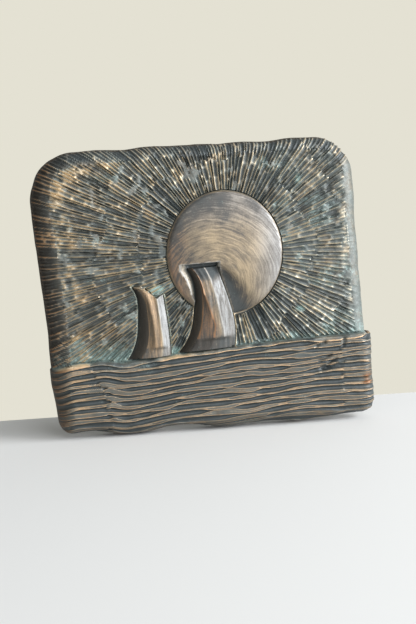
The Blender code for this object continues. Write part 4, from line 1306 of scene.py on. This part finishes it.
outward = add(tree, "ShaderNodeVectorMath", {0: from_sun.outputs["Vector"]},
              operation="LENGTH").outputs["Value"]
outward = add(tree, "ShaderNodeMath", {0: outward, 1: 1 / ARC_WIDTH}, operation="MULTIPLY").outputs[0]
round_sun = add(tree, "ShaderNodeCombineXYZ", {"X": outward, "Y": turned}).outputs["Vector"]
arcs = add(tree, "ShaderNodeTexNoise",
           {"Vector": round_sun, "Scale": 1.0, "Detail": 2.0, "Distortion": 0.3}).outputs["Fac"]
drawn_out = add(tree, "ShaderNodeVectorMath", {0: place, 1: [1 / (size * MM) for size in STREAK]},
                operation="MULTIPLY").outputs["Vector"]
streaks = add(tree, "ShaderNodeTexNoise",
              {"Vector": drawn_out, "Scale": 1.0, "Detail": 2.0, "Distortion": 0.3}).outputs["Fac"]
strokes = add(tree, "ShaderNodeMix", {FACTOR: streaked, VALUE_A: arcs, VALUE_B: streaks}).outputs[0]
brushed = add(tree, "ShaderNodeMath", {0: strokes, 1: 0.5}, operation="SUBTRACT").outputs[0]
brushed = add(tree, "ShaderNodeMath", {0: brushed, 1: burnish}, operation="MULTIPLY").outputs[0]
print("nodes with the brushing:", len(tree.nodes))

# %% [markdown]
# The metal is bare where the carving says that it was rubbed, helped or hindered by the
# grain and by the brushing. Between 0.62 and 1.22 the skin gives way to the metal.

# %% Where the metal is bare
SKIN_HOLDS, SKIN_GONE = 0.62, 1.22
GRAIN_HELPS, BRUSH_HELPS = 0.55, 0.9
wear = add(tree, "ShaderNodeMath", {0: grain.outputs["Fac"], 1: GRAIN_HELPS, 2: rub},
           operation="MULTIPLY_ADD").outputs[0]
wear = add(tree, "ShaderNodeMath", {0: brushed, 1: BRUSH_HELPS, 2: wear},
           operation="MULTIPLY_ADD").outputs[0]
bare = add(tree, "ShaderNodeMapRange",
           {"Value": wear, "From Min": SKIN_HOLDS, "From Max": SKIN_GONE}).outputs["Result"]
print("bare from a wear of", SKIN_HOLDS, "on, fully at", SKIN_GONE)

# %% [markdown]
# The skin is a slate green with brown blotches where it is open and a little rubbed. On the
# coppery parts it is a warm brown, and on the burnished sun and stones a brownish grey. Where
# no rubbing reaches it turns nearly black: slate in the sky, brown on the sides that face left.
# That is partly the thick skin left in the troughs and partly painted shade, in the troughs and
# on the sides turned away from the light. The verdigris is a pale blue-green bloom over it.

# %% The colours of the skin
SLATE_PATINA, BROWN_PATINA = paint("#8c938c"), paint("#93856f")
COPPERY_PATINA, RUBBED_PATINA = paint("#4a3d2c"), paint("#57514a")
DEEP_PATINA_AND_SHADE, DEEP_BROWN_AND_SHADE, VERDIGRIS = paint("#353c3d"), paint("#2d2419"), paint("#96b2ac")
brown = add(tree, "ShaderNodeMapRange",
            {"Value": blotch.outputs["Fac"], "From Min": 0.42, "From Max": 0.68}).outputs["Result"]
skin = add(tree, "ShaderNodeMix", {FACTOR: brown, COLOUR_A: SLATE_PATINA, COLOUR_B: BROWN_PATINA},
           data_type="RGBA").outputs[MIXED]
skin = add(tree, "ShaderNodeMix", {FACTOR: warm, COLOUR_A: skin, COLOUR_B: COPPERY_PATINA},
           data_type="RGBA").outputs[MIXED]
skin = add(tree, "ShaderNodeMix", {FACTOR: burnish, COLOUR_A: skin, COLOUR_B: RUBBED_PATINA},
           data_type="RGBA").outputs[MIXED]
# Painted shade: where nothing was rubbed, in the troughs and on the flanks facing left, the skin turns
# nearly black; partly the real thick skin in the hollows.
open_skin = add(tree, "ShaderNodeMapRange",
                {"Value": rub, "From Min": 0.0, "From Max": 0.6}).outputs["Result"]
deep = add(tree, "ShaderNodeMix", {FACTOR: warm, COLOUR_A: DEEP_PATINA_AND_SHADE, COLOUR_B: DEEP_BROWN_AND_SHADE},
           data_type="RGBA").outputs[MIXED]
skin = add(tree, "ShaderNodeMix", {FACTOR: open_skin, COLOUR_A: deep, COLOUR_B: skin},
           data_type="RGBA").outputs[MIXED]
spread = add(tree, "ShaderNodeMath", {0: blotch.outputs["Fac"], 1: 0.9, 2: damp},
             operation="MULTIPLY_ADD").outputs[0]
speckle = add(tree, "ShaderNodeMath", {0: grain.outputs["Fac"], 1: 0.5},
              operation="SUBTRACT").outputs[0]
spread = add(tree, "ShaderNodeMath", {0: speckle, 1: 2.4, 2: spread},
             operation="MULTIPLY_ADD").outputs[0]
bloom = add(tree, "ShaderNodeMapRange", {"Value": spread, "From Min": 0.8, "From Max": 2.2,
                                         "To Max": 0.75}).outputs["Result"]
skin = add(tree, "ShaderNodeMix", {FACTOR: bloom, COLOUR_A: skin, COLOUR_B: VERDIGRIS},
           data_type="RGBA").outputs[MIXED]
print("nodes with the skin:", len(tree.nodes))

# %% [markdown]
# Bare bronze is pale and warm on a crest that wool has polished, and a quieter brown on the
# burnished sun and stones. Some parts look coppery and some silver-grey: the sheet's warm value
# runs from -1, silver-grey, to 1, coppery. The silver-grey lies on the right faces of the
# stones, the right rim and the right and top of the sky and the sun, and is partly a painted
# reflection of the light there. Fine scratches darken and lighten the burnished metal.

# %% The colours of the bare metal
RUBBED_BRONZE, BURNISHED_BRONZE, COPPERY_BRONZE = paint("#d3be9a"), paint("#94856d"), paint("#986843")
SILVERY_CREST_AND_SHEEN, SILVERY_BRONZE_AND_SHEEN = paint("#c3c2b6"), paint("#85888a")
metal = add(tree, "ShaderNodeMix", {FACTOR: burnish, COLOUR_A: RUBBED_BRONZE, COLOUR_B: BURNISHED_BRONZE},
            data_type="RGBA").outputs[MIXED]
metal = add(tree, "ShaderNodeMix", {FACTOR: warm, COLOUR_A: metal, COLOUR_B: COPPERY_BRONZE},
            data_type="RGBA").outputs[MIXED]
# Painted reflection: where warm is below 0, the bare metal turns silver-grey, partly standing for the light
# that it reflects.
cool_sheen = add(tree, "ShaderNodeMath", {0: warm, 1: -1.0},
           operation="MULTIPLY", use_clamp=True).outputs[0]
silvery_and_sheen = add(tree, "ShaderNodeMix",
              {FACTOR: burnish, COLOUR_A: SILVERY_CREST_AND_SHEEN, COLOUR_B: SILVERY_BRONZE_AND_SHEEN},
              data_type="RGBA").outputs[MIXED]
metal = add(tree, "ShaderNodeMix", {FACTOR: cool_sheen, COLOUR_A: metal, COLOUR_B: silvery_and_sheen},
            data_type="RGBA").outputs[MIXED]
colour = add(tree, "ShaderNodeMix", {FACTOR: bare, COLOUR_A: skin, COLOUR_B: metal},
             data_type="RGBA").outputs[MIXED]
scratched = add(tree, "ShaderNodeMapRange", {"Value": brushed, "From Min": -0.16, "From Max": 0.16,
                                             "To Min": 0.82, "To Max": 1.12}).outputs["Result"]
colour = add(tree, "ShaderNodeVectorMath", {0: colour, SCALED_BY: scratched},
             operation="SCALE").outputs["Vector"]
print("nodes with the metal:", len(tree.nodes))

# %% [markdown]
# The grain and the brushing also stand up a little, as a bump of a tenth of a millimetre. A
# skin of oxides is dull and barely metallic. The bare metal shines more, but wire wool leaves
# it satin, and what is left of the skin keeps it from being a mirror. A thin coat of wax lies
# over both.

# %% Grain and gloss
GRAIN_DEPTH = 0.12 * MM
texture = add(tree, "ShaderNodeMath", {0: brushed, 1: 0.8, 2: grain.outputs["Fac"]},
              operation="MULTIPLY_ADD").outputs[0]
bump = add(tree, "ShaderNodeBump", {"Height": texture, "Strength": 0.5, "Distance": GRAIN_DEPTH})
dull = add(tree, "ShaderNodeMapRange", {"Value": bare, "To Min": 0.55, "To Max": 0.5}).outputs["Result"]
dull = add(tree, "ShaderNodeMath", {0: streaked, 1: 0.12, 2: dull}, operation="MULTIPLY_ADD").outputs[0]
metallic = add(tree, "ShaderNodeMapRange",
               {"Value": bare, "To Min": 0.25, "To Max": 0.75}).outputs["Result"]
shader = add(tree, "ShaderNodeBsdfPrincipled", {
    "Base Color": colour, "Metallic": metallic, "Roughness": dull, "Normal": bump.outputs["Normal"],
    "Coat Weight": 0.12, "Coat Roughness": 0.4})
add(tree, "ShaderNodeOutputMaterial", {"Surface": shader.outputs["BSDF"]})
casting.data.materials.append(bronze)
print(bronze.name, "has", len(tree.nodes), "nodes and", len(tree.links), "links")

# %% [markdown]
# ## The shelf
#
# A pale matt shelf carries the plaque. The plaque's foot is cut a little aslant, so the shelf
# follows it. It ends four centimetres behind, so that its far edge is seen low behind the
# plaque.

# %% A shelf that meets the foot of the plaque
SHELF_WIDTH, SHELF_DEPTH, SHELF_BACK = 1600.0, 900.0, 42.0
foot = outline[(np.abs(outline[:, 0]) < 60) & (outline[:, 1] < -50)]
slope = float(np.polyfit(foot[:, 0], foot[:, 1], 1)[0])
under = float((lifted[:, 2] - slope * lifted[:, 0]).min())
edge = [(-SHELF_WIDTH / 2, -SHELF_DEPTH), (SHELF_WIDTH / 2, -SHELF_DEPTH),
        (SHELF_WIDTH / 2, SHELF_BACK), (-SHELF_WIDTH / 2, SHELF_BACK)]
shelf_mesh = bpy.data.meshes.new("shelf")
shelf_mesh.from_pydata([(x * MM, y * MM, (under + slope * x) * MM) for x, y in edge], [], [(0, 1, 2, 3)])
shelf = bpy.data.objects.new("shelf", shelf_mesh)
bpy.context.scene.collection.objects.link(shelf)
matt_paint = bpy.data.materials.new("pale_matt_paint")
matt_paint.use_nodes = True
matt_paint.node_tree.nodes["Principled BSDF"].inputs["Base Color"].default_value = paint("#dedfdd")
matt_paint.node_tree.nodes["Principled BSDF"].inputs["Roughness"].default_value = 0.9
shelf_mesh.materials.append(matt_paint)
print("shelf slope", round(slope, 4), "under the plaque at", round(under, 2), "mm")

# %% [markdown]
# ## Light
#
# Bronze shows what stands round it, so the light is a few large soft panels. The key panel is
# far to the right: the right faces of the stones, the right side of the sun and the right rim
# catch it, and everything that turns left falls dark.

# %% Panels of light
def panel(name, width, height, power, toward, distance, tint="#ffffff"):
    """A soft panel that shines at the plaque from an azimuth and elevation in degrees."""
    light = bpy.data.lights.new(name, "AREA")
    light.shape, light.size, light.size_y = "RECTANGLE", width, height
    light.energy, light.color = power, paint(tint)[:3]
    holder = bpy.data.objects.new(name, light)
    side, up = (math.radians(angle) for angle in toward)
    away = Vector((math.sin(side) * math.cos(up), -math.cos(side) * math.cos(up), math.sin(up)))
    holder.location = away * distance
    holder.rotation_euler = away.to_track_quat("Z", "Y").to_euler()
    bpy.context.scene.collection.objects.link(holder)
    print(name, "of", power, "W at", *(round(part, 2) for part in holder.location), "m")


panel("key_panel", 0.8, 0.9, 30, (66, 14), 1.3, "#fafbff")
panel("front_fill", 1.2, 0.9, 15, (24, 20), 1.5, "#f8faff")

# %% [markdown]
# The room is pale where the camera looks at it, and dimmer as a light, most of all at the
# left. Otherwise it would fill every shadow that the panels leave.

# %% The room
world = bpy.data.worlds.new("pale_room")
world.use_nodes = True
bpy.context.scene.world = world
room = world.node_tree
room.nodes.clear()
seen = add(room, "ShaderNodeLightPath").outputs["Is Camera Ray"]
facing = add(room, "ShaderNodeTexCoord").outputs["Generated"]
across = add(room, "ShaderNodeSeparateXYZ", {"Vector": facing}).outputs["X"]
dimming = add(room, "ShaderNodeMapRange", {"Value": across, "From Min": -0.8, "From Max": 0.5,
                                           "To Min": 0.22, "To Max": 0.68}).outputs["Result"]
dim = add(room, "ShaderNodeBackground", {"Color": paint("#dcdcd8"), "Strength": dimming})
pale = add(room, "ShaderNodeBackground", {"Color": paint("#e4e1d3"), "Strength": 1.0})
both = add(room, "ShaderNodeMixShader", {0: seen, 1: dim.outputs[0], 2: pale.outputs[0]})
add(room, "ShaderNodeOutputWorld", {"Surface": both.outputs[0]})
bpy.context.scene.view_settings.view_transform = "Standard"
print("room light:", len(room.nodes), "nodes")

# %% [markdown]
# ## The camera
#
# The photograph was taken from a little to the left and above, and the camera was tipped.

# %% The camera
AZIMUTH, ELEVATION, TIP = math.radians(-12.0), math.radians(8.0), math.radians(-4.6)
DISTANCE, TARGET = 0.525, Vector((0.0, 0.0, -0.0117))
right = Vector((math.cos(AZIMUTH), math.sin(AZIMUTH), 0.0))
back_axis = Vector((math.sin(AZIMUTH) * math.cos(ELEVATION), -math.cos(AZIMUTH) * math.cos(ELEVATION),
                    math.sin(ELEVATION)))
up = back_axis.cross(right)
tipped_right = right * math.cos(TIP) + up * math.sin(TIP)
tipped_up = up * math.cos(TIP) - right * math.sin(TIP)
lens = bpy.data.cameras.new("camera")
lens.lens, lens.sensor_fit, lens.sensor_height = 65.0, "VERTICAL", 36.0
camera = bpy.data.objects.new("camera", lens)
turn = Matrix((tipped_right, tipped_up, back_axis)).transposed().to_4x4()
camera.matrix_world = Matrix.Translation(TARGET + back_axis * DISTANCE) @ turn
bpy.context.scene.collection.objects.link(camera)
bpy.context.scene.camera = camera
print("camera at", *(round(part, 3) for part in camera.matrix_world.translation), "m")

# %% [markdown]
# ## The last update
#
# The dressed plaque must not grow out of the solid's box. Here the scene is brought up to date.

# %% Sizes
bpy.context.view_layer.update()
